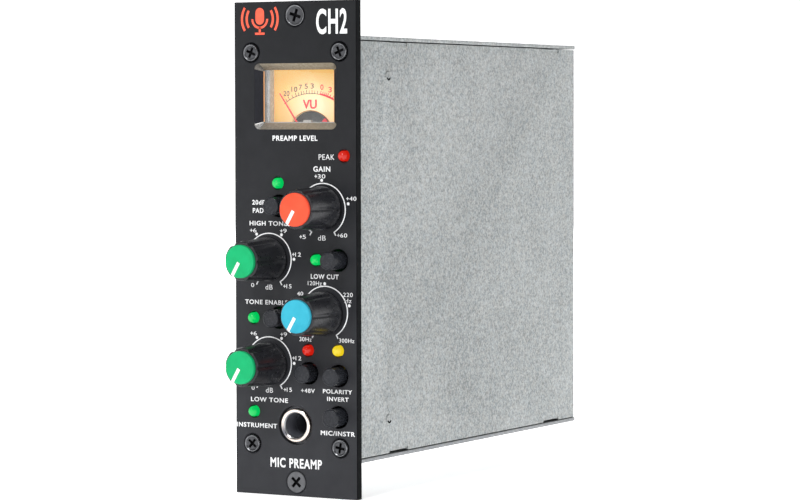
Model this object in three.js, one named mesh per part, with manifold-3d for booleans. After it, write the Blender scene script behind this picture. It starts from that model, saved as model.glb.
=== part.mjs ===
// Rack-module microphone preamp: a narrow front panel with its controls, and the sheet-metal case,
// boards and meter that stand behind it. Millimetres, +Z up, +X to the right of the panel and +Y
// into the rack. The origin is the centre of the panel's back face, the plane that seats on the rails.
import * as THREE from "three";
import { mergeVertices } from "three/addons/utils/BufferGeometryUtils.js";
import Module from "manifold-3d";

const wasm = await Module();
wasm.setup();

// ---- Clearances ----
const GAP = 0.3; // between fixed pieces, and round what slides
const RUN_GAP = 0.15; // radial, round what turns
const CUT = 1; // how far a cutting solid runs past what it cuts
const EDGE = 0.3; // small broken edge on turned pieces

// ---- Panel and case ----
const PANEL_W = 38.1;
const PANEL_H = 133.35;
const PANEL_T = 2.5;
const RAIL_STRIP = 9.525; // bare panel above and below the case, which lies on the rack rails
const CASE_INSET = 0.65; // case side inside the panel's edge
const CASE_DEPTH = 131.9;
const SHEET = 1.0;
const COVER_SETBACK = 0.5; // side cover's front edge, behind the panel's back face
const TAB_H = 6.55; // front tabs that take the panel screws
const TAB_W = 6.6;

// ---- Side cover ----
const NOTCH_W = 10.3;
const NOTCH_H = 1.0;
const NOTCH_FRONT = 21.4; // panel to the first notch's middle
const NOTCH_REAR = 16.3; // second notch's middle to the case's end
const DIMPLE_R = 1.5;
const DIMPLE_RISE = 0.4;
const DIMPLE_BACK = 15.7; // behind the panel
const DIMPLE_INSET = 10.6; // below the case's top

// ---- Screws ----
const PANEL_SCREW_HEAD_R = 2.45;
const PANEL_SCREW_R = 1.25;
const PANEL_SCREW_LENGTH = 6.5;
const PANEL_SCREW_FROM_SIDE = 5.25; // from the panel's long edge
const PANEL_SCREW_FROM_TOP = 4.15; // from the case's top or bottom
const RACK_SCREW_HEAD_R = 2.92;
const RACK_SCREW_R = 1.5;
const RACK_SCREW_LENGTH = 9.5;
const RACK_SCREW_FROM_EDGE = 3.8;
const PANEL_SCREW_RISE = 0.4; // raised head, in front of the panel
const SCREW_CONE_DEPTH = 1.3;
const SCREW_RIM = 0.15; // straight edge round the head
const RECESS_R = 1.3;
const RECESS_SLOT = 0.5;
const RECESS_DEPTH = 0.9;

// ---- Meter ----
const WINDOW_W = 22.1; // at the back of its bevel
const WINDOW_H = 14.3;
const BEVEL_W = 1.85;
const BEVEL_DEPTH = 2.0;
const METER_LAP = 1.7; // housing beyond the window, each side
const METER_LAP_TOP = 2.0;
const METER_LAP_BOTTOM = 9.5;
const METER_DEPTH = 10.4;
const METER_WALL = 0.8;
const LENS_T = 1.2;
const DIAL_BACK = 5.0; // dial face behind the panel's back face
const DIAL_T = 0.4;
const PIVOT_X = 0.3;
const PIVOT_DROP = 11.55; // window middle to the needle's pivot
const CUTOUT_R = 5.75; // round opening that shows the magnet
const CUTOUT_RISE = 1.9; // its middle above the pivot
const YOKE_LAP = 0.9; // magnet beyond the opening
const YOKE_T = 1.0;
const YOKE_GAP = 0.6; // behind the dial
const NEEDLE_LENGTH = 15.0;
const NEEDLE_REST = -34.3; // degrees from upright, clockwise positive
const ARM_ANGLE = 76; // balance arm, clockwise from the pointer
const ARM_LENGTH = 7.0;
const NEEDLE_W = 0.35;
const NEEDLE_T = 0.3;
const NEEDLE_LIFT = 1.3; // hub's front, in front of the dial
const HUB_R = 1.5;
const HUB_T = 0.9;
const PIN_R = 0.35;
const CORE_R = 3.9;
const PIN_PROUD = 0.6; // pin's front, in front of the hub
const LAMP_R = 1.2;
const LAMP_INSET = 2.0;

// ---- Knobs and potentiometers ----
const KNOB_BASE_R = 5.95;
const KNOB_FRONT_R = 5.2;
const KNOB_PROUD = 14.1; // body front, in front of the panel
const KNOB_LIFT = 0.4; // body base, in front of the panel
const KNOB_CHAMFER = 0.8;
const KNOB_RIM = 0.75; // body left round the cap
const CAP_T = 0.8;
const CAP_STEM_R = 1.6;
const CAP_STEM = 1.6;
const SHAFT_R = 3.0;
const SHAFT_TIP = 3.2; // shaft tip, behind the body's front
const BUSH_WALL = 0.9;
const POT_SIZE = 9.8;
const POT_BACK = 4.0; // pot body, behind the panel's back face
const POT_WALL = 1.6; // between the shaft's end and the board

// ---- Buttons and switches ----
const BUTTON_R = 2.45;
const BUTTON_PROUD = 4.6; // latched in
const BUTTON_SINK = 0.8; // the deepest latched button, behind the others
const BUTTON_TRAVEL = 2.0;
const BUTTON_SKIRT = 0.7; // cap's length behind the panel's back face
const BUTTON_CLEARANCE = 0.55; // round the button, in the panel
const STEM_R = 1.5;
const STEM_GRIP = 2.8; // stem inside the switch at rest
const SWITCH_SIZE = 7.0;
const SWITCH_ROOM = 1.3; // switch behind the pressed button

// ---- Indicator lights ----
const LED_R = 1.42;
const LED_PROUD = 0.3; // straight part in front of the panel, under the dome
const LED_LIP = 0.3; // flange beyond the round body
const LED_FLANGE_T = 1.0;
const LED_BODY = 2.2; // behind the panel's back face
const LEG = 0.6;
const LEG_SPACING = 2.54; // over both legs
const LEG_ROOM = 0.4; // board beyond the flange
const PEAK_RISE = 0.7; // peak light above the housing's bottom
const PEAK_SIDE_GAP = 0.5; // its flange to the case's side

// ---- Jack ----
const JACK_BORE_R = 3.2;
const FERRULE_WALL = 1.36;
const FERRULE_PROUD = 0.15;
const FERRULE_TAIL = 3.0; // behind the panel's back face
const JACK_CLEARANCE = 0.68; // round the ferrule, in the panel
const JACK_W = 13.0;
const JACK_H = 14.0;
const JACK_LENGTH = 27.0;
const JACK_END_WALL = 2.0;
const JACK_FLOOR_GAP = 1.65; // above the case's floor

// ---- Boards and what they carry ----
const BOARD_T = 1.6;
const FRONT_BOARD_Y = 11.0;
const BOARD_STANDOFF = 5.4; // case wall to the main board
const BOARD_SIDE_GAP = 0.6;
const MAIN_BOARD_MARGIN = 2.15; // board edge inside the case's inner top and bottom
const MAIN_BOARD_GAP = 1.9; // behind the front board
const MAIN_BOARD_END_GAP = 0.9;
const CARD_REACH = 18.7; // card edge, behind the case
const CARD_W = 62.5;
const SLOT_MARGIN = 2.0;
const HEADER = { depth: 9, width: 6.5, height: 30 };
const TRANSFORMER = { width: 20, depth: 26, height: 22, coilBulge: 3, coilInset: 4 };
const TRANSFORMER_SETBACK = 43.9; // its front, before the case's end
const CAPACITOR_R = 5.0;
const CAPACITOR_LENGTH = 16;
const CAPACITOR_Y = 52;
const CAPACITOR_Z = 30;
const CAPACITOR_PITCH = 14;
const SPACER_R = 2.5;
const SPACER_BORE_R = 1.3;
const SPACER_FRONT = 30; // front spacer, behind the panel
const SPACER_REAR = 12; // rear spacer, before the case's end
const SPACER_INSET = 8; // inside the board's edge

// ---- Where the controls stand: shares of the half width, and of the height from meter to case floor ----
const caseHalfW = PANEL_W / 2 - CASE_INSET;
const caseHalfH = PANEL_H / 2 - RAIL_STRIP;
const innerHalfW = caseHalfW - SHEET;
const innerHalfH = caseHalfH - SHEET;
const meterHalfW = WINDOW_W / 2 + METER_LAP;
const meterTop = caseHalfH - TAB_H - GAP;
const meterZ = meterTop - METER_LAP_TOP - WINDOW_H / 2;
const meterBottom = meterZ - WINDOW_H / 2 - METER_LAP_BOTTOM;
const pivotZ = meterZ - PIVOT_DROP;
const panelFront = -PANEL_T;
const boardFront = FRONT_BOARD_Y - GAP;
const capR = KNOB_FRONT_R - KNOB_RIM;
const ledFlangeR = LED_R + LED_LIP;
const ferruleR = JACK_BORE_R + FERRULE_WALL;
const layoutX = (share) => share * caseHalfW;
const layoutZ = (share) => meterBottom - share * (meterBottom + caseHalfH);

const KNOBS = [
  { name: "gain", x: 0.471, z: 0.163, cap: 0xe8472f },
  { name: "high", x: -0.454, z: 0.3345, cap: 0x12a25e },
  { name: "low_cut", x: 0.488, z: 0.508, cap: 0x2ba6c4 },
  { name: "low", x: -0.457, z: 0.6815, cap: 0x12a25e },
];
const BUTTONS = [
  { name: "pad", x: -0.277, z: 0.157 },
  { name: "filter", x: 0.723, z: 0.333, rise: 1.1 },
  { name: "eq", x: -0.283, z: 0.527 },
  { name: "phantom", x: 0.217, z: 0.707, rise: -BUTTON_SINK },
  { name: "polarity", x: 0.723, z: 0.712 },
  { name: "input", x: 0.72, z: 0.848 },
];
const GREEN = 0x10c060;
const RED = 0xc81808;
const YELLOW = 0xe8c010;
const LIGHTS = [
  { name: "pad", x: -0.294, z: 0.082, color: GREEN },
  { name: "filter", x: 0.353, z: 0.333, color: GREEN },
  { name: "eq", x: -0.72, z: 0.5295, color: GREEN },
  { name: "phantom", x: 0.212, z: 0.6315, color: RED },
  { name: "polarity", x: 0.719, z: 0.6295, color: YELLOW },
  { name: "input", x: -0.718, z: 0.8415, color: GREEN },
];
const peakX = innerHalfW - ledFlangeR - PEAK_SIDE_GAP;
const besideMeter = peakX - ledFlangeR > meterHalfW + GAP;
const peakZ = besideMeter ? meterBottom + PEAK_RISE : meterBottom - ledFlangeR - GAP;
const JACK = { x: layoutX(-0.009), z: -innerHalfH + JACK_FLOOR_GAP + JACK_H / 2 };

// ---- Finishes ----
const FINISH = {
  anodised: { color: 0x2b2c2f, roughness: 0.6, metalness: 0.2 },
  zinc: { color: 0xa9adac, roughness: 0.45, metalness: 0.85 },
  knob: { color: 0x1b1b1d, roughness: 0.5, metalness: 0 },
  brass: { color: 0xb59b5a, roughness: 0.35, metalness: 0.9 },
  blackPlastic: { color: 0x161618, roughness: 0.55, metalness: 0 },
  chrome: { color: 0xd8d8d8, roughness: 0.12, metalness: 1 },
  blackSteel: { color: 0x232325, roughness: 0.4, metalness: 0.7 },
  clear: { color: 0xf2f2ee, roughness: 0.05, metalness: 0 },
  dial: { color: 0xf3cf86, roughness: 0.7, metalness: 0 },
  needle: { color: 0xd8232f, roughness: 0.5, metalness: 0 },
  board: { color: 0x145c38, roughness: 0.55, metalness: 0 },
  steel: { color: 0x8d8f92, roughness: 0.35, metalness: 0.9 },
  sleeve: { color: 0x23355e, roughness: 0.4, metalness: 0 },
};

// ---- Solids ----
function toManifold(geometry) {
  const bare = geometry.clone();
  bare.deleteAttribute("normal");
  bare.deleteAttribute("uv");
  const merged = mergeVertices(bare, 1e-5);
  const index = merged.index.array;
  const faces = [];
  for (let i = 0; i < index.length; i += 3) {
    const [a, b, c] = [index[i], index[i + 1], index[i + 2]];
    if (a !== b && b !== c && c !== a) faces.push(a, b, c);
  }
  const vertProperties = new Float32Array(merged.attributes.position.array);
  return new wasm.Manifold(new wasm.Mesh({ numProp: 3, vertProperties, triVerts: new Uint32Array(faces) }));
}

function toGeometry(manifold) {
  const mesh = manifold.getMesh();
  const geometry = new THREE.BufferGeometry();
  geometry.setAttribute("position", new THREE.BufferAttribute(mesh.vertProperties, 3));
  geometry.setIndex(new THREE.BufferAttribute(mesh.triVerts, 1));
  geometry.computeVertexNormals();
  return geometry;
}

// A box between two corners given as ranges.
function block([x0, x1], [y0, y1], [z0, z1]) {
  const geometry = new THREE.BoxGeometry(x1 - x0, y1 - y0, z1 - z0);
  geometry.translate((x0 + x1) / 2, (y0 + y1) / 2, (z0 + z1) / 2);
  return toManifold(geometry);
}

// A round solid about an axis along Y. The profile lists [radius, y] from front to back.
function turned(profile, x, z, segments = 24) {
  const points = profile.map(([r, y]) => new THREE.Vector2(r, y));
  const geometry = new THREE.LatheGeometry(points, segments);
  geometry.translate(x, 0, z);
  return toManifold(geometry);
}

function rod(radius, y0, y1, x, z, segments = 24) {
  return turned([[0, y0], [radius, y0], [radius, y1], [0, y1]], x, z, segments);
}

// A round solid about an axis along X.
function rodAlongX(radius, x0, x1, y, z, segments = 24) {
  const geometry = new THREE.CylinderGeometry(radius, radius, x1 - x0, segments);
  geometry.rotateZ(Math.PI / 2);
  geometry.translate((x0 + x1) / 2, y, z);
  return toManifold(geometry);
}

// A flat plate between two depths, from an outline drawn in X and Z.
function plate(shape, y0, y1, curveSegments = 20) {
  const geometry = new THREE.ExtrudeGeometry(shape, { depth: y1 - y0, bevelEnabled: false, curveSegments });
  geometry.rotateX(Math.PI / 2);
  geometry.translate(0, y1, 0);
  return toManifold(geometry);
}

function rectangle(x0, x1, z0, z1) {
  const shape = new THREE.Shape();
  shape.moveTo(x0, z0);
  shape.lineTo(x1, z0);
  shape.lineTo(x1, z1);
  shape.lineTo(x0, z1);
  shape.closePath();
  return shape;
}

function roundHole(shape, x, z, radius) {
  const hole = new THREE.Path();
  hole.absarc(x, z, radius, 0, 2 * Math.PI, true);
  shape.holes.push(hole);
}

const object = new THREE.Group();

function addPart(name, manifold, finish) {
  const mesh = new THREE.Mesh(toGeometry(manifold), new THREE.MeshStandardMaterial(finish));
  mesh.name = name;
  object.add(mesh);
}

// ---- Places worked out once ----
const place = (item) => ({ ...item, x: layoutX(item.x), z: layoutZ(item.z) });
const knobs = KNOBS.map(place);
const buttons = BUTTONS.map(place);
const lights = [...LIGHTS.map(place), { name: "peak", color: RED, x: peakX, z: peakZ }];
const panelScrewX = PANEL_W / 2 - PANEL_SCREW_FROM_SIDE;
const panelScrewZ = caseHalfH - PANEL_SCREW_FROM_TOP;
const panelScrews = [
  { name: "panel_screw_top_left", x: -panelScrewX, z: panelScrewZ },
  { name: "panel_screw_top_right", x: panelScrewX, z: panelScrewZ },
  { name: "panel_screw_bottom_left", x: -panelScrewX, z: -panelScrewZ },
  { name: "panel_screw_bottom_right", x: panelScrewX, z: -panelScrewZ },
];
const rackScrewZ = PANEL_H / 2 - RACK_SCREW_FROM_EDGE;
const rackScrews = [
  { name: "rack_screw_top", x: 0, z: rackScrewZ },
  { name: "rack_screw_bottom", x: 0, z: -rackScrewZ },
];
const bushR = SHAFT_R + RUN_GAP + BUSH_WALL;
const mainBoardLeft = -innerHalfW + BOARD_STANDOFF;
const mainBoardRight = mainBoardLeft + BOARD_T;
const mainBoardHalfH = innerHalfH - MAIN_BOARD_MARGIN;

// ---- Front panel ----
function countersink({ x, z }, headR, shankR) {
  const front = panelFront - CUT;
  const floor = panelFront + SCREW_CONE_DEPTH + GAP;
  const profile = [[0, front], [headR + GAP, front], [headR + GAP, panelFront]];
  return turned([...profile, [shankR + GAP, floor], [shankR + GAP, CUT], [0, CUT]], x, z);
}

function windowBevel() {
  const geometry = new THREE.BoxGeometry(WINDOW_W, BEVEL_DEPTH, WINDOW_H);
  geometry.translate(0, panelFront + BEVEL_DEPTH / 2, meterZ);
  const position = geometry.attributes.position;
  for (let i = 0; i < position.count; i += 1) {
    if (position.getY(i) < panelFront + BEVEL_DEPTH / 2) {
      position.setX(i, Math.sign(position.getX(i)) * (WINDOW_W / 2 + BEVEL_W));
      position.setZ(i, meterZ + Math.sign(position.getZ(i) - meterZ) * (WINDOW_H / 2 + BEVEL_W));
    }
  }
  return toManifold(geometry);
}

function frontPanel() {
  const outline = rectangle(-PANEL_W / 2, PANEL_W / 2, -PANEL_H / 2, PANEL_H / 2);
  knobs.forEach(({ x, z }) => roundHole(outline, x, z, bushR + GAP));
  buttons.forEach(({ x, z }) => roundHole(outline, x, z, BUTTON_R + BUTTON_CLEARANCE));
  lights.forEach(({ x, z }) => roundHole(outline, x, z, LED_R + GAP));
  roundHole(outline, JACK.x, JACK.z, ferruleR + JACK_CLEARANCE);
  let panel = plate(outline, panelFront, 0);
  panelScrews.forEach((screw) => {
    panel = panel.subtract(countersink(screw, PANEL_SCREW_HEAD_R, PANEL_SCREW_R));
  });
  rackScrews.forEach((screw) => {
    panel = panel.subtract(countersink(screw, RACK_SCREW_HEAD_R, RACK_SCREW_R));
  });
  const opening = [-WINDOW_W / 2, WINDOW_W / 2];
  const window = block(opening, [panelFront, CUT], [meterZ - WINDOW_H / 2, meterZ + WINDOW_H / 2]);
  const pocketX = caseHalfW + GAP;
  const pocketZ = caseHalfH + GAP;
  const pocket = block([-pocketX, pocketX], [-GAP, CUT], [-pocketZ, pocketZ]);
  return panel.subtract(window).subtract(windowBevel()).subtract(pocket);
}

// ---- Case ----
function caseShell() {
  const outer = block([-caseHalfW, caseHalfW], [0, CASE_DEPTH], [-caseHalfH, caseHalfH]);
  const hollow = block([-innerHalfW, caseHalfW + CUT], [-CUT, CASE_DEPTH + CUT], [-innerHalfH, innerHalfH]);
  let shell = outer.subtract(hollow);
  for (const side of [-1, 1]) {
    const outerX = side < 0 ? -innerHalfW - SHEET / 2 : innerHalfW - GAP;
    const innerX = side < 0 ? -innerHalfW + TAB_W : innerHalfW - GAP - TAB_W;
    const spanX = [Math.min(outerX, innerX), Math.max(outerX, innerX)];
    shell = shell.add(block(spanX, [0, SHEET], [caseHalfH - TAB_H, caseHalfH - SHEET / 2]));
    shell = shell.add(block(spanX, [0, SHEET], [-caseHalfH + SHEET / 2, -caseHalfH + TAB_H]));
  }
  panelScrews.forEach(({ x, z }) => {
    shell = shell.subtract(rod(PANEL_SCREW_R + GAP, -CUT, SHEET + CUT, x, z));
  });
  return shell;
}

function sideCover() {
  const halfH = innerHalfH - GAP;
  let cover = block([innerHalfW, caseHalfW], [COVER_SETBACK, CASE_DEPTH], [-halfH, halfH]);
  cover = cover.add(block([-innerHalfW + GAP, caseHalfW], [CASE_DEPTH - SHEET, CASE_DEPTH], [-halfH, halfH]));
  for (const notchY of [NOTCH_FRONT, CASE_DEPTH - NOTCH_REAR]) {
    const alongY = [notchY - NOTCH_W / 2, notchY + NOTCH_W / 2];
    const through = [innerHalfW - CUT, caseHalfW + CUT];
    cover = cover.subtract(block(through, alongY, [halfH - NOTCH_H, halfH + CUT]));
    cover = cover.subtract(block(through, alongY, [-halfH - CUT, -halfH + NOTCH_H]));
  }
  for (const z of [caseHalfH - DIMPLE_INSET, -caseHalfH + DIMPLE_INSET]) {
    const dimpleX = [caseHalfW - SHEET / 2, caseHalfW + DIMPLE_RISE];
    cover = cover.add(rodAlongX(DIMPLE_R, ...dimpleX, DIMPLE_BACK, z, 16));
  }
  const slotX = [mainBoardLeft - SLOT_MARGIN, mainBoardRight + SLOT_MARGIN];
  const slotHalfZ = CARD_W / 2 + SLOT_MARGIN;
  return cover.subtract(block(slotX, [CASE_DEPTH - SHEET - CUT, CASE_DEPTH + CUT], [-slotHalfZ, slotHalfZ]));
}

// ---- Screws ----
function countersunkScrew({ x, z }, headR, shankR, length, rise = 0) {
  const tip = panelFront + length;
  const face = panelFront - rise;
  const shoulder = rise ? [[headR, panelFront]] : [];
  const head = [[0, face], [headR - rise, face], ...shoulder, [headR, panelFront + SCREW_RIM]];
  const shank = [[shankR, panelFront + SCREW_CONE_DEPTH], [shankR, tip], [0, tip]];
  const screw = turned([...head, ...shank], x, z);
  const depth = [face - CUT, face + RECESS_DEPTH];
  const across = block([x - RECESS_R, x + RECESS_R], depth, [z - RECESS_SLOT / 2, z + RECESS_SLOT / 2]);
  const upright = block([x - RECESS_SLOT / 2, x + RECESS_SLOT / 2], depth, [z - RECESS_R, z + RECESS_R]);
  return screw.subtract(across).subtract(upright);
}

// ---- Meter ----
function meterHousing() {
  const spanX = [-meterHalfW, meterHalfW];
  const outer = block(spanX, [0, METER_DEPTH], [meterBottom, meterTop]);
  const cavityX = [-meterHalfW + METER_WALL, meterHalfW - METER_WALL];
  const cavityZ = [meterBottom + METER_WALL, meterTop - METER_WALL];
  return outer.subtract(block(cavityX, [-CUT, METER_DEPTH - METER_WALL], cavityZ));
}

const insertX = meterHalfW - METER_WALL - GAP;
const insertTop = meterTop - METER_WALL - GAP;
const insertBottom = meterBottom + METER_WALL + GAP;
const meterBack = METER_DEPTH - METER_WALL - GAP;
const yokeFront = DIAL_BACK + DIAL_T + YOKE_GAP;
const needleFront = DIAL_BACK - NEEDLE_LIFT;
const cutoutZ = pivotZ + CUTOUT_RISE;

function meterDial() {
  const face = plate(rectangle(-insertX, insertX, insertBottom, insertTop), DIAL_BACK, DIAL_BACK + DIAL_T);
  return face.subtract(rod(CUTOUT_R, DIAL_BACK - CUT, DIAL_BACK + DIAL_T + CUT, PIVOT_X, cutoutZ, 32));
}

// A thin bar from the pivot outwards, at an angle clockwise from upright.
function needleBar(angle, start, end) {
  const geometry = new THREE.BoxGeometry(NEEDLE_W, NEEDLE_T, end - start);
  geometry.translate(0, 0, (start + end) / 2);
  geometry.rotateY(THREE.MathUtils.degToRad(angle));
  geometry.translate(PIVOT_X, needleFront + HUB_T / 2, pivotZ);
  return toManifold(geometry);
}

function meterNeedle() {
  const hub = rod(HUB_R, needleFront, needleFront + HUB_T, PIVOT_X, pivotZ);
  const pointer = needleBar(NEEDLE_REST, HUB_R / 2 + PIN_R, NEEDLE_LENGTH);
  const arm = needleBar(NEEDLE_REST + ARM_ANGLE, HUB_R / 2 + PIN_R, ARM_LENGTH);
  const bore = rod(PIN_R + GAP, needleFront - CUT, needleFront + HUB_T + CUT, PIVOT_X, pivotZ);
  return hub.add(pointer).add(arm).subtract(bore);
}

function meterMovement() {
  const reach = CUTOUT_R + YOKE_LAP;
  const spanX = [PIVOT_X - reach, PIVOT_X + reach];
  const yoke = block(spanX, [yokeFront, yokeFront + YOKE_T], [insertBottom, cutoutZ + reach]);
  const core = rod(CORE_R, yokeFront, meterBack, PIVOT_X, pivotZ);
  return yoke.add(core).add(rod(PIN_R, needleFront - PIN_PROUD, yokeFront + YOKE_T / 2, PIVOT_X, pivotZ, 12));
}

function meterLamp() {
  return rod(LAMP_R, yokeFront, meterBack, -insertX + LAMP_INSET, insertBottom + LAMP_INSET, 16);
}

// ---- Knobs and potentiometers ----
const knobBase = panelFront - KNOB_LIFT;
const knobFront = panelFront - KNOB_PROUD;
const shaftFront = knobFront + SHAFT_TIP;
const shaftEnd = boardFront - POT_WALL - GAP;

function knobBody({ x, z }) {
  const boreR = SHAFT_R + GAP;
  const stemHole = CAP_STEM_R + GAP;
  const bottom = knobFront + CAP_STEM + GAP;
  const front = [[0, bottom], [stemHole, bottom], [stemHole, knobFront], [KNOB_FRONT_R, knobFront]];
  const side = [[KNOB_BASE_R, knobBase - KNOB_CHAMFER], [KNOB_BASE_R - KNOB_CHAMFER / 2, knobBase]];
  const bore = [[boreR, knobBase], [boreR, shaftFront - GAP], [0, shaftFront - GAP]];
  return turned([...front, ...side, ...bore], x, z, 32);
}

function knobCap({ x, z }) {
  const back = knobFront - GAP;
  const front = back - CAP_T;
  const tail = knobFront + CAP_STEM;
  const disc = [[0, front], [capR - EDGE, front], [capR, front + EDGE], [capR, back]];
  return turned([...disc, [CAP_STEM_R, back], [CAP_STEM_R, tail], [0, tail]], x, z, 32);
}

function knobShaft({ x, z }) {
  return rod(SHAFT_R, shaftFront, shaftEnd, x, z, 32);
}

function potentiometer({ x, z }) {
  const half = POT_SIZE / 2;
  const body = block([x - half, x + half], [POT_BACK, boardFront], [z - half, z + half]);
  const bush = rod(bushR, panelFront + GAP, POT_BACK + CUT, x, z, 32);
  return body.add(bush).subtract(rod(SHAFT_R + RUN_GAP, panelFront - CUT, shaftEnd + GAP, x, z, 32));
}

// ---- Buttons and switches ----
const switchFront = BUTTON_SKIRT + BUTTON_TRAVEL + SWITCH_ROOM;
const stemEnd = switchFront + STEM_GRIP;

// A latched button stands at rise 0; a released one stands further out.
function button({ x, z, rise = 0 }) {
  const [front, skirt, tip] = [panelFront - BUTTON_PROUD - rise, BUTTON_SKIRT - rise, stemEnd - rise];
  const cap = [[0, front], [BUTTON_R - EDGE, front], [BUTTON_R, front + EDGE], [BUTTON_R, skirt]];
  return turned([...cap, [STEM_R, skirt], [STEM_R, tip], [0, tip]], x, z);
}

function switchBody({ x, z }) {
  const half = SWITCH_SIZE / 2;
  const body = block([x - half, x + half], [switchFront, boardFront], [z - half, z + half]);
  const boreEnd = stemEnd + BUTTON_SINK + BUTTON_TRAVEL + GAP;
  return body.subtract(rod(STEM_R + GAP, switchFront - CUT, boreEnd, x, z));
}

// ---- Indicator lights ----
function light({ x, z }) {
  const domeBase = panelFront - LED_PROUD;
  const domeSteps = 4;
  const dome = [];
  for (let i = 0; i <= domeSteps; i += 1) {
    const turn = (i / domeSteps) * (Math.PI / 2);
    dome.push([LED_R * Math.sin(turn), domeBase - LED_R * Math.cos(turn)]);
  }
  const flangeBack = LED_BODY + LED_FLANGE_T;
  const body = [[LED_R, LED_BODY], [ledFlangeR, LED_BODY], [ledFlangeR, flangeBack], [0, flangeBack]];
  let led = turned([...dome, ...body], x, z, 16);
  for (const side of [-1, 1]) {
    const legZ = z + (side * (LEG_SPACING - LEG)) / 2;
    const alongY = [flangeBack - LED_FLANGE_T / 2, boardFront];
    led = led.add(block([x - LEG / 2, x + LEG / 2], alongY, [legZ - LEG / 2, legZ + LEG / 2]));
  }
  return led;
}

// ---- Jack ----
const jackFront = FERRULE_TAIL + GAP;
const jackBack = jackFront + JACK_LENGTH;

function jackFerrule() {
  const front = panelFront - FERRULE_PROUD;
  const rim = [[JACK_BORE_R, front + EDGE], [JACK_BORE_R + EDGE, front], [ferruleR - EDGE, front]];
  const back = [[ferruleR, front + EDGE], [ferruleR, FERRULE_TAIL], [JACK_BORE_R, FERRULE_TAIL]];
  return turned([...rim, ...back, [JACK_BORE_R, front + EDGE]], JACK.x, JACK.z, 32);
}

function jackSocket() {
  const spanX = [JACK.x - JACK_W / 2, JACK.x + JACK_W / 2];
  const body = block(spanX, [jackFront, jackBack], [JACK.z - JACK_H / 2, JACK.z + JACK_H / 2]);
  return body.subtract(rod(JACK_BORE_R, jackFront - CUT, jackBack - JACK_END_WALL, JACK.x, JACK.z, 32));
}

// ---- Boards ----
const frontBoardBack = FRONT_BOARD_Y + BOARD_T;
const frontBoardEdge = innerHalfW - BOARD_SIDE_GAP;

function frontBoard() {
  const top = meterBottom - GAP;
  const peakLeft = meterHalfW + GAP;
  const peakTop = Math.max(peakZ + ledFlangeR + LEG_ROOM, top + GAP);
  const jackLeft = JACK.x - JACK_W / 2 - GAP;
  const jackRight = JACK.x + JACK_W / 2 + GAP;
  const jackTop = JACK.z + JACK_H / 2 + GAP;
  const bottom = Math.min(lights[5].z, buttons[5].z) - SWITCH_SIZE / 2;
  const shape = new THREE.Shape();
  shape.moveTo(-frontBoardEdge, bottom);
  shape.lineTo(jackLeft, bottom);
  shape.lineTo(jackLeft, jackTop);
  shape.lineTo(jackRight, jackTop);
  shape.lineTo(jackRight, bottom);
  shape.lineTo(frontBoardEdge, bottom);
  shape.lineTo(frontBoardEdge, peakTop);
  shape.lineTo(peakLeft, peakTop);
  shape.lineTo(peakLeft, top);
  shape.lineTo(-frontBoardEdge, top);
  shape.closePath();
  return plate(shape, FRONT_BOARD_Y, frontBoardBack);
}

function mainBoard() {
  const end = CASE_DEPTH - SHEET - MAIN_BOARD_END_GAP;
  const spanX = [mainBoardLeft, mainBoardRight];
  const board = block(spanX, [frontBoardBack + MAIN_BOARD_GAP, end], [-mainBoardHalfH, mainBoardHalfH]);
  return board.add(block(spanX, [end - CUT, CASE_DEPTH + CARD_REACH], [-CARD_W / 2, CARD_W / 2]));
}

const onBoard = mainBoardRight + GAP;

function boardHeader() {
  const front = frontBoardBack + GAP;
  const spanX = [onBoard, onBoard + HEADER.width];
  return block(spanX, [front, front + HEADER.depth], [-HEADER.height / 2, HEADER.height / 2]);
}

function transformer() {
  const { width, depth, height, coilBulge, coilInset } = TRANSFORMER;
  const front = CASE_DEPTH - TRANSFORMER_SETBACK;
  const core = block([onBoard, onBoard + width], [front, front + depth], [-height / 2, height / 2]);
  const coilY = [front - coilBulge, front + depth + coilBulge];
  const coilZ = [-height / 2 + coilInset, height / 2 - coilInset];
  return core.add(block([onBoard + coilInset, onBoard + width - coilInset], coilY, coilZ));
}

function capacitor(z) {
  return rodAlongX(CAPACITOR_R, onBoard, onBoard + CAPACITOR_LENGTH, CAPACITOR_Y, z);
}

function boardSpacer(y, z) {
  const spanX = [-innerHalfW + GAP, mainBoardLeft - GAP];
  const bore = rodAlongX(SPACER_BORE_R, spanX[0] - CUT, spanX[1] + CUT, y, z, 16);
  return rodAlongX(SPACER_R, spanX[0], spanX[1], y, z, 16).subtract(bore);
}

// ---- Assembly ----
addPart("front_panel", frontPanel(), FINISH.anodised);
addPart("case_shell", caseShell(), FINISH.zinc);
addPart("side_cover", sideCover(), FINISH.zinc);
panelScrews.forEach((screw) => {
  const sizes = [PANEL_SCREW_HEAD_R, PANEL_SCREW_R, PANEL_SCREW_LENGTH, PANEL_SCREW_RISE];
  const solid = countersunkScrew(screw, ...sizes);
  addPart(screw.name, solid, FINISH.blackSteel);
});
rackScrews.forEach((screw) => {
  const solid = countersunkScrew(screw, RACK_SCREW_HEAD_R, RACK_SCREW_R, RACK_SCREW_LENGTH);
  addPart(screw.name, solid, FINISH.blackSteel);
});
addPart("meter_housing", meterHousing(), FINISH.blackPlastic);
addPart("meter_lens", block([-insertX, insertX], [0, LENS_T], [insertBottom, insertTop]), FINISH.clear);
addPart("meter_dial", meterDial(), FINISH.dial);
addPart("meter_needle", meterNeedle(), FINISH.needle);
addPart("meter_movement", meterMovement(), FINISH.steel);
addPart("meter_lamp", meterLamp(), FINISH.clear);
knobs.forEach((knob) => {
  addPart(`${knob.name}_knob`, knobBody(knob), FINISH.knob);
  addPart(`${knob.name}_cap`, knobCap(knob), { color: knob.cap, roughness: 0.45, metalness: 0 });
  addPart(`${knob.name}_shaft`, knobShaft(knob), FINISH.steel);
  addPart(`${knob.name}_pot`, potentiometer(knob), FINISH.brass);
});
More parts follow.
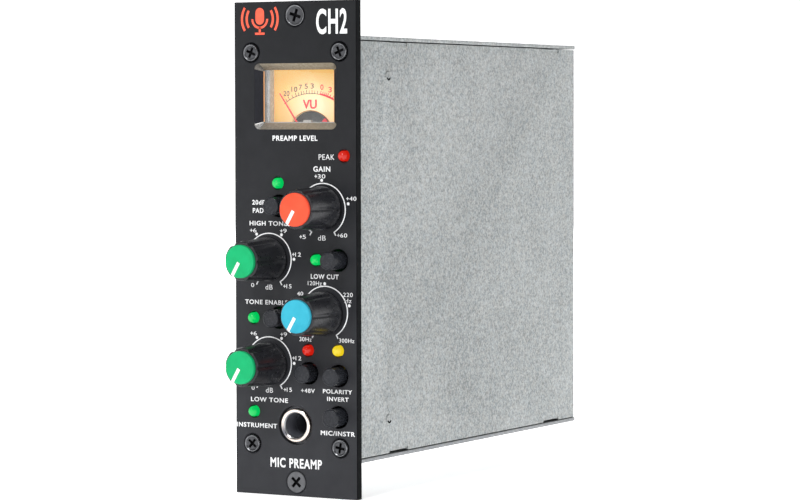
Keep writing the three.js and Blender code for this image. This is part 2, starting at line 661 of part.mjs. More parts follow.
buttons.forEach((item) => {
  addPart(`${item.name}_button`, button(item), FINISH.knob);
  addPart(`${item.name}_switch`, switchBody(item), FINISH.blackPlastic);
});
lights.forEach((item) => {
  addPart(`${item.name}_light`, light(item), { color: item.color, roughness: 0.2, metalness: 0 });
});
addPart("jack_ferrule", jackFerrule(), FINISH.chrome);
addPart("jack_socket", jackSocket(), FINISH.blackPlastic);
addPart("front_board", frontBoard(), FINISH.board);
addPart("main_board", mainBoard(), FINISH.board);
addPart("board_header", boardHeader(), FINISH.blackPlastic);
addPart("transformer", transformer(), FINISH.steel);
addPart("capacitor_upper", capacitor(CAPACITOR_Z + CAPACITOR_PITCH / 2), FINISH.sleeve);
addPart("capacitor_lower", capacitor(CAPACITOR_Z - CAPACITOR_PITCH / 2), FINISH.sleeve);
const spacerZ = mainBoardHalfH - SPACER_INSET;
addPart("board_spacer_front", boardSpacer(SPACER_FRONT, spacerZ), FINISH.brass);
addPart("board_spacer_rear", boardSpacer(CASE_DEPTH - SPACER_REAR, -spacerZ), FINISH.brass);

export default object;
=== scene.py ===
"""Looks for a rack-module microphone preamp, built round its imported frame.

The front panel lies in the X-Z plane and faces -Y; the case runs back along +Y. Shapes are drawn in
millimetres and scaled to metres as each piece is finished.
"""
import math

import bmesh
import bpy
from mathutils import Matrix, Vector


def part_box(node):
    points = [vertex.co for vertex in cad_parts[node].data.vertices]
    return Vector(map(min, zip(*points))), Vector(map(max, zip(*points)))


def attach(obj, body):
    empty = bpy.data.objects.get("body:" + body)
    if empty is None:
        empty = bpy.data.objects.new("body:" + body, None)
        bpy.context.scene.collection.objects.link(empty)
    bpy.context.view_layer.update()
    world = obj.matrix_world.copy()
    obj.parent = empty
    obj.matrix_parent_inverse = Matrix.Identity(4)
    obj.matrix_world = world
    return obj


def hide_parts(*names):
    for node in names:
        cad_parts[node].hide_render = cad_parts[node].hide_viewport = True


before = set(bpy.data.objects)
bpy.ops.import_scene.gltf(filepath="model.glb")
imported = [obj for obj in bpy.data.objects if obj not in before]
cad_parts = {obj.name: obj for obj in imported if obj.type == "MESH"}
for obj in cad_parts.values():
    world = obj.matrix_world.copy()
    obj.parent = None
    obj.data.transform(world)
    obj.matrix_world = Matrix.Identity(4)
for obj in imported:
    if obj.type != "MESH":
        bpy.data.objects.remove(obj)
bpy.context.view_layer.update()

# ---- Sizes, millimetres ----
PLATE_EDGE = 0.12  # broken edge round the panel
HOLE_EDGE = 0.12
HOLE_GAP = 0.3  # round screw heads and lights, and in front of the case's tabs
SINK_DEPTH = 1.6  # countersink
RUN_CLEARANCE = 1.35  # panel hole beyond a knob's shaft
BUTTON_CLEARANCE = 0.55
JACK_CLEARANCE = 0.68
INK = 0.03  # thickness of the printed lettering
INK_SINK = 0.01
DIAL_INK = {"lift": 0.02, "thick": 0.03}

WINDOW_HALF_W = 11.05  # at the back of its bevel
WINDOW_HALF_H = 7.15
WINDOW_DROP = 9.15  # middle of the window below the housing's top
WINDOW_CORNER = 1.6
BEVEL_W = 1.73
BEVEL_DEPTH = 2.0
SEAL = 0.09
GUIDE_SIDE = 9.85  # light guide, from the window's middle
GUIDE_LEDGE = 0.32  # its bottom, in view
PIVOT_DROP = 11.55
SCALE_R = 11.95
NUMBER_R = 13.8
NEEDLE_REST = -34.3  # degrees clockwise from upright
NEEDLE_REACH = 14.7
DIAL_HOLE_R = 5.75
DIAL_HOLE_RISE = 1.9
ARM_TURN = 76
ARM_REACH = 7.3
HUB_R = 1.5
HUB_T = 0.9

RACK_SHANK_R = 1.5
PANEL_SHANK_R = 1.25
RECESS_DEPTH = 0.95
RECESS_LEAN = 0.85  # its floor's share of its mouth

KNOB_FACE_R = 5.2
KNOB_BORE_R = 3.3
STEM_R = 1.6
FLUTES = 6
FLUTE_W = 1.9
FLUTE_DEPTH = 0.42
RIM_GAP = 0.06  # keeps the cap's pointer inside the frame's box
POINTER_W = 0.95
POINTER_START = 0.35  # from the cap's middle

ARC_R = 6.98
ARC_W = 0.3
ARC_SWEEP = 150  # degrees each side of the top
TICK_R = 8.05
TICK_W = 0.34
DOT_R = 0.42

BUTTON_EDGE = 0.34
BUTTON_LENGTH = 7.8  # its cap
LIGHT_LIP = 0.3  # flange beyond the dome
LEG = 0.6
LEG_SPACING = 1.94
JACK_BORE_R = 3.2

SHEET = 1.0
# Painted light on the panel: its colour greys from dark at the top right corner over this distance.
PANEL_FADE = 0.138  # metres from the panel's top right corner to its greyest tone
FINE = 0.00002  # metres, depth of a fine grain
NOTCH_FRONT = 21.4  # panel to the first notch's middle
NOTCH_REAR = 16.3  # second notch's middle to the case's end
NOTCH_W = 10.3
NOTCH_H = 1.0
TAB_RECESS = 0.3  # pressed tabs in the notches, behind the side's face
TAB_SLOT = 0.45  # left open under a lower tab
DIMPLE_BACK = 15.7
DIMPLE_INSET = 10.6
DIMPLE_RISE = 0.3
CONTACT_PITCH = 3.96
CONTACT_W = 2.2
CONTACT_LENGTH = 8.6

BODY = "chassis"
Y_TURN = Matrix.Rotation(math.pi / 2, 4, "X")
TO_METRES = Matrix.Scale(0.001, 4)


# ---- Places from the frame ----
def span(node):
    """Lowest and highest corner of a node, in millimetres."""
    low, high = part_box(node)
    return low * 1000, high * 1000


def middle(node):
    low, high = span(node)
    return (low + high) / 2


def half_width(node):
    low, high = span(node)
    return (high.x - low.x) / 2


panel_low, panel_high = span("front_panel")
FRONT = panel_low.y
HALF_W = panel_high.x
HALF_H = panel_high.z
WINDOW = Vector((middle("meter_housing").x, 0, span("meter_housing")[1].z - WINDOW_DROP))
PIVOT = Vector((middle("meter_movement").x, 0, WINDOW.z - PIVOT_DROP))
DIAL_FACE = span("meter_dial")[0].y

KNOBS = {"gain": "red", "high": "green", "low_cut": "blue", "low": "green"}
BUTTONS = ["pad", "filter", "eq", "phantom", "polarity", "input"]
LIGHTS = {
    "pad": "green",
    "filter": "green",
    "eq": "green",
    "phantom": "red",
    "polarity": "yellow",
    "input": "green",
    "peak": "red",
}
# Each screw's recess: half width and reach of its slots, and its turn in degrees.
PANEL_SCREWS = {
    "panel_screw_top_left": (0.36, 1.45, 22),
    "panel_screw_top_right": (0.36, 1.45, 68),
    "panel_screw_bottom_left": (0.36, 1.45, 40),
    "panel_screw_bottom_right": (0.36, 1.45, 10),
}
RACK_SCREWS = {"rack_screw_top": (0.42, 1.75, 18), "rack_screw_bottom": (0.4, 1.75, 42)}
DISHED = {*PANEL_SCREWS, "rack_screw_top"}

# ---- What is printed: words, middle x and z, width, height; knob legends are round their knob ----
SCALES = {"gain": (8.3, 11.03), "high": (-8.35, -2.65), "low_cut": (9.15, -16.61), "low": (-8.35, -30.61)}
ARC_SHIFT = {"gain": (0.3, -0.15), "high": (0.05, -0.1), "low_cut": (0.05, -0.05), "low": (0.0, -0.2)}
DOTS = {
    "gain": [(0, 7.65), (80, 8.3)],
    "high": [(-30.5, 7.65), (31.5, 7.65), (90, 7.9)],
    "low_cut": [(0, 7.6), (76, 7.8)],
    "low": [(-31, 7.55), (31, 7.55), (91, 7.85)],
}
TONE_LEGEND = [
    ("0", -5.2, -7.25, 0.95, 1.1),
    ("dB", 0.0, -7.7, 2.25, 1.35),
    ("+15", 5.8, -7.33, 2.6, 1.12),
    ("+6", -4.95, 7.6, 2.04, 1.1),
    ("+9", 4.6, 7.6, 2.04, 1.1),
    ("+12", 8.7, 1.3, 2.8, 1.1),
]
KNOB_LEGENDS = {
    "gain": [
        ("+30", -0.55, 8.7, 3.35, 1.12),
        ("+40", 9.13, 2.82, 3.1, 1.1),
        ("+5", -5.98, -7.58, 2.0, 1.1),
        ("dB", 0.0, -7.8, 2.42, 1.35),
        ("+60", 6.27, -7.02, 3.1, 1.08),
    ],
    "high": TONE_LEGEND,
    "low_cut": [
        ("120Hz", -3.1, 7.65, 4.36, 1.12),
        ("40", -7.7, 4.73, 1.88, 1.12),
        ("220", 7.17, 4.8, 2.95, 1.12),
        ("Hz", 7.17, 3.2, 2.1, 1.12),
        ("30Hz", -6.06, -7.49, 3.82, 1.15),
        ("300Hz", 6.73, -7.49, 4.7, 1.12),
    ],
    "low": TONE_LEGEND,
}
LEGENDS = [
    ("PREAMP LEVEL", 0.0, 29.92, 14.08, 1.42),
    ("GAIN", 8.35, 21.67, 5.28, 1.45),
    ("20dB", -11.5, 12.55, 4.2, 1.3),
    ("PAD", -11.7, 10.35, 3.4, 1.3),
    ("HIGH TONE", -8.5, 6.9, 11.9, 1.26),
    ("LOW CUT", 9.14, -7.13, 8.64, 1.3),
    ("TONE ENABLE", -9.15, -14.47, 13.6, 1.26),
    ("LOW TONE", -8.37, -40.92, 11.76, 1.24),
    ("+48V", 3.81, -37.97, 4.32, 1.15),
    ("POLARITY", 13.0, -37.86, 9.04, 1.14),
    ("INVERT", 13.1, -39.89, 6.66, 1.14),
    ("INSTRUMENT", -12.38, -48.0, 12.8, 1.26),
    ("MIC/INSTR", 13.09, -49.1, 10.63, 1.26),
]
TITLES = [("CH2", 11.52, 61.06, 9.55, 6.82), ("MIC PREAMP", 0.0, -57.79, 16.18, 2.63)]
# Dial marks: number, degrees clockwise from upright.
GREY_MARKS = [("20", -29.2), ("10", -19), ("7", -11.6), ("5", -4.8), ("3", 2)]
RED_MARKS = [("0", 12.9), ("3", 22.1)]
GREY_TICKS = [-33, -24, -15.5, -8.5, -1.5, 5.5, 9]
RED_TICKS = [15.5, 18, 20, 25, 28.5]
RED_START, SCALE_END = 12.2, 31

# ---- Lights: power in watts, size and place in metres ----
SOFT_LIGHTS = [
    ("key_light", 14, (0.4, 0.4), (0.02, -1.15, 1.1)),
    ("rim_light", 26, (1.4, 0.5), (-1.0, 1.5, 0.75)),
]
WORLD_STRENGTH = 0.26
CAMERA_PLACE = (0.41819, -0.69537, 0.0344)
CAMERA_TURN = (29.12, 2.45, -0.122)  # yaw, pitch down and roll, degrees
CAMERA_LENS = 135.4
SWEEP_GLOW = 0.6


# ---- Colour and finish ----
def tone(red, green, blue):
    """An 8-bit display colour as the linear colour that a shader takes."""
    channels = [c / 255 for c in (red, green, blue)]
    return [c / 12.92 if c <= 0.04045 else ((c + 0.055) / 1.055) ** 2.4 for c in channels] + [1.0]


def new_group(name, inputs, outputs):
    group = bpy.data.node_groups.new(name, "ShaderNodeTree")
    for title, kind, value in inputs:
        socket = group.interface.new_socket(title, in_out="INPUT", socket_type=kind)
        if value is not None:
            socket.default_value = value
    for title, kind in outputs:
        group.interface.new_socket(title, in_out="OUTPUT", socket_type=kind)
    return group, group.nodes.new("NodeGroupInput").outputs, group.nodes.new("NodeGroupOutput").inputs


def feed(tree, node, **values):
    """Links values to a node's sockets."""
    for title, value in values.items():
        tree.links.new(value, node.inputs[title.replace("_", " ")])


def mottle_group():
    """Soft clouds between two values: the uneven tone and gloss of a handled surface."""
    inputs = [
        ("Vector", "NodeSocketVector", None),
        ("Scale", "NodeSocketFloat", 100.0),
        ("Low", "NodeSocketFloat", 0.0),
        ("High", "NodeSocketFloat", 1.0),
    ]
    group, given, made = new_group("mottle", inputs, [("Value", "NodeSocketFloat")])
    noise = group.nodes.new("ShaderNodeTexNoise")
    noise.inputs["Detail"].default_value = 4.0
    spread = group.nodes.new("ShaderNodeMapRange")
    spread.inputs["From Min"].default_value = 0.3
    spread.inputs["From Max"].default_value = 0.7
    feed(group, noise, Vector=given["Vector"], Scale=given["Scale"])
    feed(group, spread, Value=noise.outputs["Fac"], To_Min=given["Low"], To_Max=given["High"])
    group.links.new(spread.outputs["Result"], made["Value"])
    return group


def grain_group():
    """Fine bumps: the texture of moulded plastic, powder coat or rolled sheet."""
    inputs = [
        ("Vector", "NodeSocketVector", None),
        ("Scale", "NodeSocketFloat", 3000.0),
        ("Strength", "NodeSocketFloat", 0.3),
        ("Depth", "NodeSocketFloat", 0.00003),
    ]
    group, given, made = new_group("grain", inputs, [("Normal", "NodeSocketVector")])
    noise = group.nodes.new("ShaderNodeTexNoise")
    noise.inputs["Detail"].default_value = 2.0
    bump = group.nodes.new("ShaderNodeBump")
    feed(group, noise, Vector=given["Vector"], Scale=given["Scale"])
    feed(group, bump, Height=noise.outputs["Fac"], Strength=given["Strength"], Distance=given["Depth"])
    group.links.new(bump.outputs["Normal"], made["Normal"])
    return group


MOTTLE = mottle_group()
GRAIN = grain_group()


def place_group(tree, group, vector, **values):
    node = tree.nodes.new("ShaderNodeGroup")
    node.node_tree = group
    tree.links.new(vector, node.inputs["Vector"])
    for title, value in values.items():
        node.inputs[title].default_value = value
    return node


def bare_material(name, **fixed):
    """A material with its own Principled shader. Returns it, its tree, the shader and object coordinates."""
    material = bpy.data.materials.new(name)
    material.use_nodes = True
    tree = material.node_tree
    shader = tree.nodes["Principled BSDF"]
    for title, value in fixed.items():
        shader.inputs[title.replace("_", " ")].default_value = value
    vector = tree.nodes.new("ShaderNodeTexCoord").outputs["Object"]
    return material, tree, shader, vector


def blend_colours(tree, factor, dark, light):
    mix = tree.nodes.new("ShaderNodeMix")
    mix.data_type = "RGBA"
    mix.inputs["A"].default_value = tone(*dark)
    mix.inputs["B"].default_value = tone(*light)
    tree.links.new(factor, mix.inputs["Factor"])
    return mix.outputs["Result"]


def cloudy(tree, vector, scale, dark, light):
    """A tone that drifts between two colours."""
    return blend_colours(tree, place_group(tree, MOTTLE, vector, Scale=scale).outputs["Value"], dark, light)


def mix_of(tree, factor, first, second):
    mix = tree.nodes.new("ShaderNodeMix")
    mix.data_type = "RGBA"
    for title, value in (("Factor", factor), ("A", first), ("B", second)):
        tree.links.new(value, mix.inputs[title])
    return mix.outputs["Result"]


def surface(
    name, dark, light, clouds=250, rough=(0.4, 0.5), grain=4000, depth=FINE, strength=0.3, **fixed
):
    """A finish whose tone drifts between two colours, with cloudy gloss and a fine bump."""
    material, tree, shader, vector = bare_material(name, **fixed)
    colour = cloudy(tree, vector, clouds, dark, light)
    gloss = place_group(tree, MOTTLE, vector, Scale=clouds * 2.3, Low=rough[0], High=rough[1])
    bumps = place_group(tree, GRAIN, vector, Scale=grain, Strength=strength, Depth=depth)
    feed(tree, shader, Base_Color=colour, Roughness=gloss.outputs["Value"], Normal=bumps.outputs["Normal"])
    return material


def scaled(tree, vector, scale, shift=(0.0, 0.0, 0.0)):
    """Object coordinates, scaled and then shifted."""
    mapping = tree.nodes.new("ShaderNodeMapping")
    mapping.inputs["Scale"].default_value = scale
    mapping.inputs["Location"].default_value = shift
    tree.links.new(vector, mapping.inputs["Vector"])
    return mapping.outputs["Vector"]


def weighted(tree, value, weight, other):
    """One value times a weight, plus another."""
    sum_up = tree.nodes.new("ShaderNodeMath")
    sum_up.operation = "MULTIPLY_ADD"
    sum_up.inputs[1].default_value = weight
    tree.links.new(value, sum_up.inputs[0])
    tree.links.new(other, sum_up.inputs[2])
    return sum_up.outputs["Value"]


def spread_out(tree, value, source, result):
    level = tree.nodes.new("ShaderNodeMapRange")
    level.inputs["From Min"].default_value, level.inputs["From Max"].default_value = source
    level.inputs["To Min"].default_value, level.inputs["To Max"].default_value = result
    tree.links.new(value, level.inputs["Value"])
    return level.outputs["Result"]


def zinc_material():
    """Zinc-plated sheet: fine spangles in cool and warm greys under soft, wide clouds."""
    material, tree, shader, vector = bare_material("zinc_plate", Metallic=0.7)
    fine = place_group(tree, MOTTLE, vector, Scale=2100.0)
    spangle = place_group(tree, MOTTLE, vector, Scale=1000.0)
    wide = place_group(tree, MOTTLE, vector, Scale=30.0)
    both = weighted(tree, spangle.outputs["Value"], 0.6, fine.outputs["Value"])
    total = weighted(tree, wide.outputs["Value"], 0.25, both)
    level = spread_out(tree, total, (0.4, 1.45), (0.0, 1.0))
    warmth = place_group(tree, MOTTLE, vector, Scale=900.0)
    cool = blend_colours(tree, level, (138, 145, 147), (188, 194, 196))
    warm = blend_colours(tree, level, (143, 145, 143), (194, 195, 192))
    colour = mix_of(tree, warmth.outputs["Value"], cool, warm)
    gloss = spread_out(tree, level, (0.0, 1.0), (0.6, 0.46))
    bumps = place_group(tree, GRAIN, vector, Scale=2100.0, Strength=0.4, Depth=FINE)
    feed(tree, shader, Base_Color=colour, Roughness=gloss, Normal=bumps.outputs["Normal"])
    return material


def panel_material():
    """Black powder coat with painted light: a little greyer towards its lower edge, where light from the
    floor falls.
    """
    material, tree, shader, vector = bare_material("panel_black", Specular_IOR_Level=0.27)
    upper = cloudy(tree, vector, 160.0, (10, 12, 16), (16, 18, 22))
    lower = cloudy(tree, vector, 160.0, (40, 41, 45), (46, 47, 51))
    # Painted light: the greyer lower colour takes over away from the top right corner.
    colour = mix_of(tree, distance_fade(tree, vector, panel_high, 1.0, PANEL_FADE), upper, lower)
    gloss = place_group(tree, MOTTLE, vector, Scale=370.0, Low=0.46, High=0.56)
    bumps = place_group(tree, GRAIN, vector, Scale=5200.0, Strength=0.35, Depth=FINE)
    feed(tree, shader, Base_Color=colour, Roughness=gloss.outputs["Value"], Normal=bumps.outputs["Normal"])
    return material


def distance_fade(tree, vector, at, stretch, reach):
    """0 at a point of the face, seen from the front, rising to 1 at a distance in metres."""
    shift = (-at.x * 0.001, 0.0, -at.z * 0.001 * stretch)
    far = tree.nodes.new("ShaderNodeVectorMath")
    far.operation = "LENGTH"
    tree.links.new(scaled(tree, vector, (1.0, 0.0, stretch), shift), far.inputs[0])
    fade = tree.nodes.new("ShaderNodeMapRange")
    fade.interpolation_type = "SMOOTHSTEP"
    fade.inputs["From Max"].default_value = reach
    tree.links.new(far.outputs["Value"], fade.inputs["Value"])
    return fade.outputs["Result"]


LIT = {
    "green": ((0, 196, 88), (0, 226, 104)),
    "red": ((196, 24, 10), (226, 36, 18)),
    "yellow": ((236, 200, 20), (252, 228, 52)),
}


def lit_material(name, node, colour):
    """A lit indicator dome: bright over its middle, deeper towards its foot."""
    deep, bright = LIT[colour]
    material, tree, shader, vector = bare_material(name, Roughness=0.06, Emission_Strength=0.9)
    fade = distance_fade(tree, vector, middle(node), 1.0, 0.0022)
    colour = cloudy(tree, vector, 700.0, [c * 0.3 for c in deep], [c * 0.4 for c in deep])
    feed(tree, shader, Emission_Color=blend_colours(tree, fade, bright, deep), Base_Color=colour)
    return material


def dial_material():
    """Back-lit amber card with painted lamp light: it glows, cream under the scale and deeper amber towards
    the edges.
    """
    material, tree, shader, vector = bare_material("dial_card", Roughness=0.6, Emission_Strength=0.5)
    fade = distance_fade(tree, vector, WINDOW + Vector((1.5, 0, -3.0)), 1.15, 0.0125)
    colour = blend_colours(tree, fade, (255, 237, 198), (240, 190, 106))
    fibres = place_group(tree, GRAIN, vector, Scale=5000.0, Strength=0.2, Depth=0.00001)
    feed(tree, shader, Base_Color=colour, Emission_Color=colour, Normal=fibres.outputs["Normal"])
    return material


def glass_material(name, tint):
    material, tree, shader, vector = bare_material(name, Roughness=0.02, Transmission_Weight=1.0, IOR=1.49)
    feed(tree, shader, Base_Color=cloudy(tree, vector, 300.0, [c - 4 for c in tint], tint))
    return material


def chrome_material():
    """Polished plate with painted reflections: a grey shade at its lower left and a warm one at its right.
    """
    material, tree, shader, vector = bare_material("chrome", Metallic=1.0)
    at = middle("jack_ferrule")
    fade = distance_fade(tree, vector, at + Vector((-3.6, 0, -2.2)), 1.0, 0.004)
    colour = blend_colours(tree, fade, (112, 113, 120), (244, 232, 222))
    gloss = place_group(tree, MOTTLE, vector, Scale=500.0, Low=0.08, High=0.14)
    feed(tree, shader, Base_Color=colour, Roughness=gloss.outputs["Value"])
    return material


FINISH = {
    "panel": panel_material(),
    # The panel's outer edges, darker and duller than its face: painted shade.
    "panel_edge_painted_shade": surface(
        "panel_edge_painted_shade", (7, 8, 11), (12, 13, 16), 300, (0.5, 0.6), 5200, Specular_IOR_Level=0.04
    ),
    # The window bevel is one cut metal in lit and shaded copies: a painted reflection on its top, painted
    # light on its bottom, painted shade on its upper left corner and its sides, and a painted highlight on
    # its lower left corner.
    "bevel_top_painted_reflection": surface(
        "bevel_top_painted_reflection", (150, 139, 120), (180, 170, 152), 1700, (0.3, 0.42), 2600, Metallic=0.9
    ),
    "bevel_low_painted_light": surface(
        "bevel_low_painted_light", (196, 186, 168), (222, 214, 200), 1700, (0.3, 0.42), 2600, Metallic=0.9
    ),
    "corner_top_painted_shade": surface(
        "corner_top_painted_shade", (96, 93, 88), (122, 118, 112), 1700, (0.3, 0.42), 2600, Metallic=0.9
    ),
    "corner_low_painted_highlight": surface(
        "corner_low_painted_highlight", (214, 212, 208), (240, 240, 238), 1700, (0.2, 0.3), 2600, Metallic=0.9
    ),
    "bevel_side_painted_shade": surface(
        "bevel_side_shade_black", (26, 27, 33), (32, 33, 40), 600, (0.3, 0.4), 5200, Specular_IOR_Level=0.2
    ),
    # The seal's faint emission is a painted glow of the meter lamp's light.
    "seal": surface(
        "amber_seal", (250, 168, 84), (255, 184, 104), 600, (0.4, 0.5), 5200, Emission_Strength=0.1
    ),
    "zinc": zinc_material(),
    "screw": surface(
        "black_oxide_steel", (70, 71, 74), (84, 85, 88), 900, (0.28, 0.36), 4000, strength=0.08,
        Metallic=0.8,
    ),
    "screw_flat": surface(
        "black_steel", (92, 93, 96), (106, 107, 110), 900, (0.4, 0.5), 4000, strength=0.1, Metallic=0.6
    ),
    # A dished head's rim in a lighter, glossier steel than its face: painted highlight.
    "screw_rim_painted_highlight": surface(
        "rim_painted_highlight", (96, 97, 100), (136, 137, 140), 900, (0.2, 0.3), 4000, strength=0.1, Metallic=1.0
    ),
    # Near-black for the screws' cross recesses and the crescents under the cover's dimples: painted shade.
    "recess": surface(
        "recess_painted_shade", (14, 14, 16), (20, 20, 22), 900, (0.5, 0.6), 4000, Specular_IOR_Level=0.08
    ),
    # Darker grey for the bottom sheet's end face: painted shade.
    "lower_edge_painted_shade": surface("lower_edge_painted_shade", (140, 143, 145), (160, 162, 164), 900, (0.4, 0.5), 2600, Metallic=0.7),
    "knob": surface(
        "knob_black", (30, 31, 35), (36, 37, 41), 500, (0.26, 0.32), 6500, strength=0.06,
        Specular_IOR_Level=0.45,
    ),
    "button": surface(
        "button_black", (32, 34, 39), (38, 40, 45), 500, (0.24, 0.3), 6500, strength=0.06,
        Specular_IOR_Level=0.3,
    ),
    "red": surface("cap_red", (236, 78, 50), (244, 88, 58), 300, (0.42, 0.5), 6500, Specular_IOR_Level=0.2),
    "green": surface(
        "cap_green", (8, 162, 98), (14, 176, 110), 300, (0.42, 0.5), 6500, Specular_IOR_Level=0.2
    ),
    "blue": surface(
        "cap_blue", (44, 160, 186), (56, 174, 198), 300, (0.42, 0.5), 6500, Specular_IOR_Level=0.2
    ),
    "ink": surface("white_ink", (236, 237, 238), (248, 249, 250), 900, (0.5, 0.6), 7000),
    "red_ink": surface("red_ink", (240, 84, 56), (250, 96, 66), 900, (0.5, 0.6), 7000),
    "chrome": chrome_material(),
    # A grey lighter than the jack's black plastic, for its bore, socket and washer: painted light in the
    # shaded bore.
    "bore": surface("bore_painted_light_grey", (84, 86, 93), (96, 98, 105), 300, (0.4, 0.5), 5000),
    "housing": surface("meter_case_black", (20, 20, 22), (27, 27, 30), 400, (0.4, 0.5), 6000),
    # The light guide's faint emission is a painted glow of the meter lamp's light.
    "guide": surface(
        "light_guide", (176, 174, 172), (202, 202, 206), 500, (0.2, 0.3), 5000, Emission_Strength=0.1
    ),
    "steel": surface(
        "ground_steel", (150, 152, 155), (184, 186, 188), 600, (0.26, 0.38), 2600, Metallic=1.0
    ),
    "magnet": surface("sintered_magnet", (70, 74, 78), (90, 94, 98), 500, (0.4, 0.5), 2600, Metallic=0.8),
    "brass": surface("brass", (178, 150, 88), (200, 172, 108), 600, (0.26, 0.38), 3000, Metallic=1.0),
    "gold": surface("gold_contact", (206, 166, 88), (226, 188, 108), 500, (0.2, 0.3), 3000, Metallic=1.0),
    "board": surface("solder_mask_green", (14, 66, 42), (20, 82, 52), 260, (0.3, 0.42), 4200),
    "black_plastic": surface("moulded_black", (22, 22, 24), (30, 30, 33), 400, (0.42, 0.55), 5000),
    "sleeve": surface("capacitor_sleeve", (28, 44, 86), (38, 56, 102), 300, (0.3, 0.4), 5000),
    "core": surface(
        "laminated_steel", (104, 106, 110), (136, 138, 142), 500, (0.34, 0.46), 2200, Metallic=0.9
    ),
    # The needle's emission is a painted glow of the meter lamp's light.
    "needle": surface(
        "needle_red", (240, 60, 74), (248, 74, 86), 900, (0.4, 0.5), 6000,
        Emission_Color=tone(255, 90, 104), Emission_Strength=0.3,
    ),
    "dial_grey": surface("dial_grey_ink", (112, 106, 88), (126, 120, 100), 900, (0.5, 0.6), 7000),
    # The red ink's emission is a painted glow of the lamp behind the dial.
    "dial_red": surface(
        "dial_red_ink", (236, 58, 74), (246, 70, 86), 900, (0.5, 0.6), 7000,
        Emission_Color=tone(240, 60, 80), Emission_Strength=0.3,
    ),
    # A brown band round the dial's cut-out: painted shade for its cut edge.
    "dial_brown": surface("dial_hole_painted_shade", (176, 122, 62), (192, 136, 74), 900, (0.5, 0.6), 7000),
    "dial": dial_material(),
    "glass": glass_material("window_glass", (255, 255, 252)),
    "bulb": glass_material("bulb_glass", (255, 250, 238)),
}


# ---- Shapes ----
def add_piece(name, bm, body, finishes, stands_for=(), smooth=32):
    """Finishes a mesh drawn in millimetres: outward faces, smooth shading between sharp edges, its body."""
    bmesh.ops.recalc_face_normals(bm, faces=bm.faces)
    piece = link_mesh(name, bm, smooth)
    for finish in finishes:
        piece.data.materials.append(finish)
    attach(piece, body)
    if stands_for:
        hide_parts(*stands_for)
    return piece


def link_mesh(name, bm, smooth):
    """Makes an object of a mesh drawn in millimetres."""
    bmesh.ops.transform(bm, matrix=TO_METRES, verts=bm.verts)
    mesh = bpy.data.meshes.new(name)
    bm.to_mesh(mesh)
    bm.free()
    mesh.shade_smooth()
    mesh.set_sharp_from_angle(angle=math.radians(smooth))
    made = bpy.data.objects.new(name, mesh)
    bpy.context.scene.collection.objects.link(made)
    return made


def edges_of(verts):
    return list({edge for vert in verts for edge in vert.link_edges})


def points_in(geometry):
    return [item for item in geometry if isinstance(item, bmesh.types.BMVert)]


def ring(bm, at, radius, y, sides=48):
    """A circle of edges round an axis along Y, through the X and Z of a point."""
    where = Matrix.Translation((at.x, y, at.z)) @ Y_TURN
    return edges_of(bmesh.ops.create_circle(bm, segments=sides, radius=radius, matrix=where)["verts"])


def frame_ring(bm, at, half_w, half_h, corner, y):
    """A rectangle of edges with round corners, facing along Y."""
    where = Matrix.Translation((at.x, y, at.z)) @ Y_TURN @ Matrix.Diagonal((half_w, half_h, 1.0, 1.0))
    verts = bmesh.ops.create_grid(bm, x_segments=1, y_segments=1, size=1.0, matrix=where)["verts"]
    face = verts[0].link_faces[0]
    if corner:
        bevelled = bmesh.ops.bevel(
            bm, geom=verts, offset=corner, segments=6, profile=0.5, affect="VERTICES", material=-1
        )
        face = bevelled["verts"][0].link_faces[0]
    edges = list(face.edges)
    bmesh.ops.delete(bm, geom=[face], context="FACES_ONLY")
    return edges


def bridge(bm, loops, material=0):
    """Joins each loop of edges to the next with a band of faces, and returns the faces."""
    made = []
    for first, second in zip(loops, loops[1:]):
        made += bmesh.ops.bridge_loops(bm, edges=first + second)["faces"]
    for face in made:
        face.material_index = material
    return made


def fill(bm, loops):
    """A flat face between an outer loop and the loops of its holes."""
    edges = [edge for loop in loops for edge in loop]
    bmesh.ops.triangle_fill(bm, edges=edges, use_beauty=True, use_dissolve=False)


def arc(radius_at, y_at, radius, start, end, steps=6):
    """Points of a part circle in a turned profile: angles in degrees, 0 along the radius, 90 along -Y."""
    turns = [math.radians(start + (end - start) * i / steps) for i in range(steps + 1)]
    return [(radius_at + radius * math.cos(t), y_at - radius * math.sin(t)) for t in turns]


def full_spin(bm, geometry, centre, axis, steps):
    whole = 2 * math.pi
    bmesh.ops.spin(bm, geom=geometry, cent=centre, axis=axis, angle=whole, steps=steps, use_merge=True)


def turn(bm, profile, at, sides=64):
    """Spins a profile of (radius, y) points round an axis along Y."""
    verts = [bm.verts.new((at.x + radius, y, at.z)) for radius, y in profile]
    edges = [bm.edges.new(pair) for pair in zip(verts, verts[1:])]
    full_spin(bm, verts + edges, (at.x, 0, at.z), (0, 1, 0), sides)
    bmesh.ops.remove_doubles(bm, verts=bm.verts, dist=1e-4)


def turned(profile, at, sides=64):
    bm = bmesh.new()
    turn(bm, profile, at, sides)
    return bm


def swing(at, degrees):
    """A turn about an axis along Y through a point, clockwise seen from the front."""
    about = Matrix.Translation((at.x, 0, at.z))
    return about @ Matrix.Rotation(math.radians(degrees), 4, "Y") @ about.inverted()


def box_at(bm, low, high):
    low, high = Vector(low), Vector(high)
    where = Matrix.Translation((low + high) / 2) @ Matrix.Diagonal((*(high - low), 1.0))
    return bmesh.ops.create_cube(bm, size=1.0, matrix=where)["verts"]


def is_sharp(edge, degrees=35):
    return len(edge.link_faces) == 2 and edge.calc_face_angle() > math.radians(degrees)


def soften(bm, edges, width, segments=2):
    """Rounds edges."""
    bmesh.ops.bevel(
        bm,
        geom=edges,
        offset=width,
        offset_type="OFFSET",
        segments=segments,
        profile=0.5,
        affect="EDGES",
        clamp_overlap=True,
        material=-1,
    )


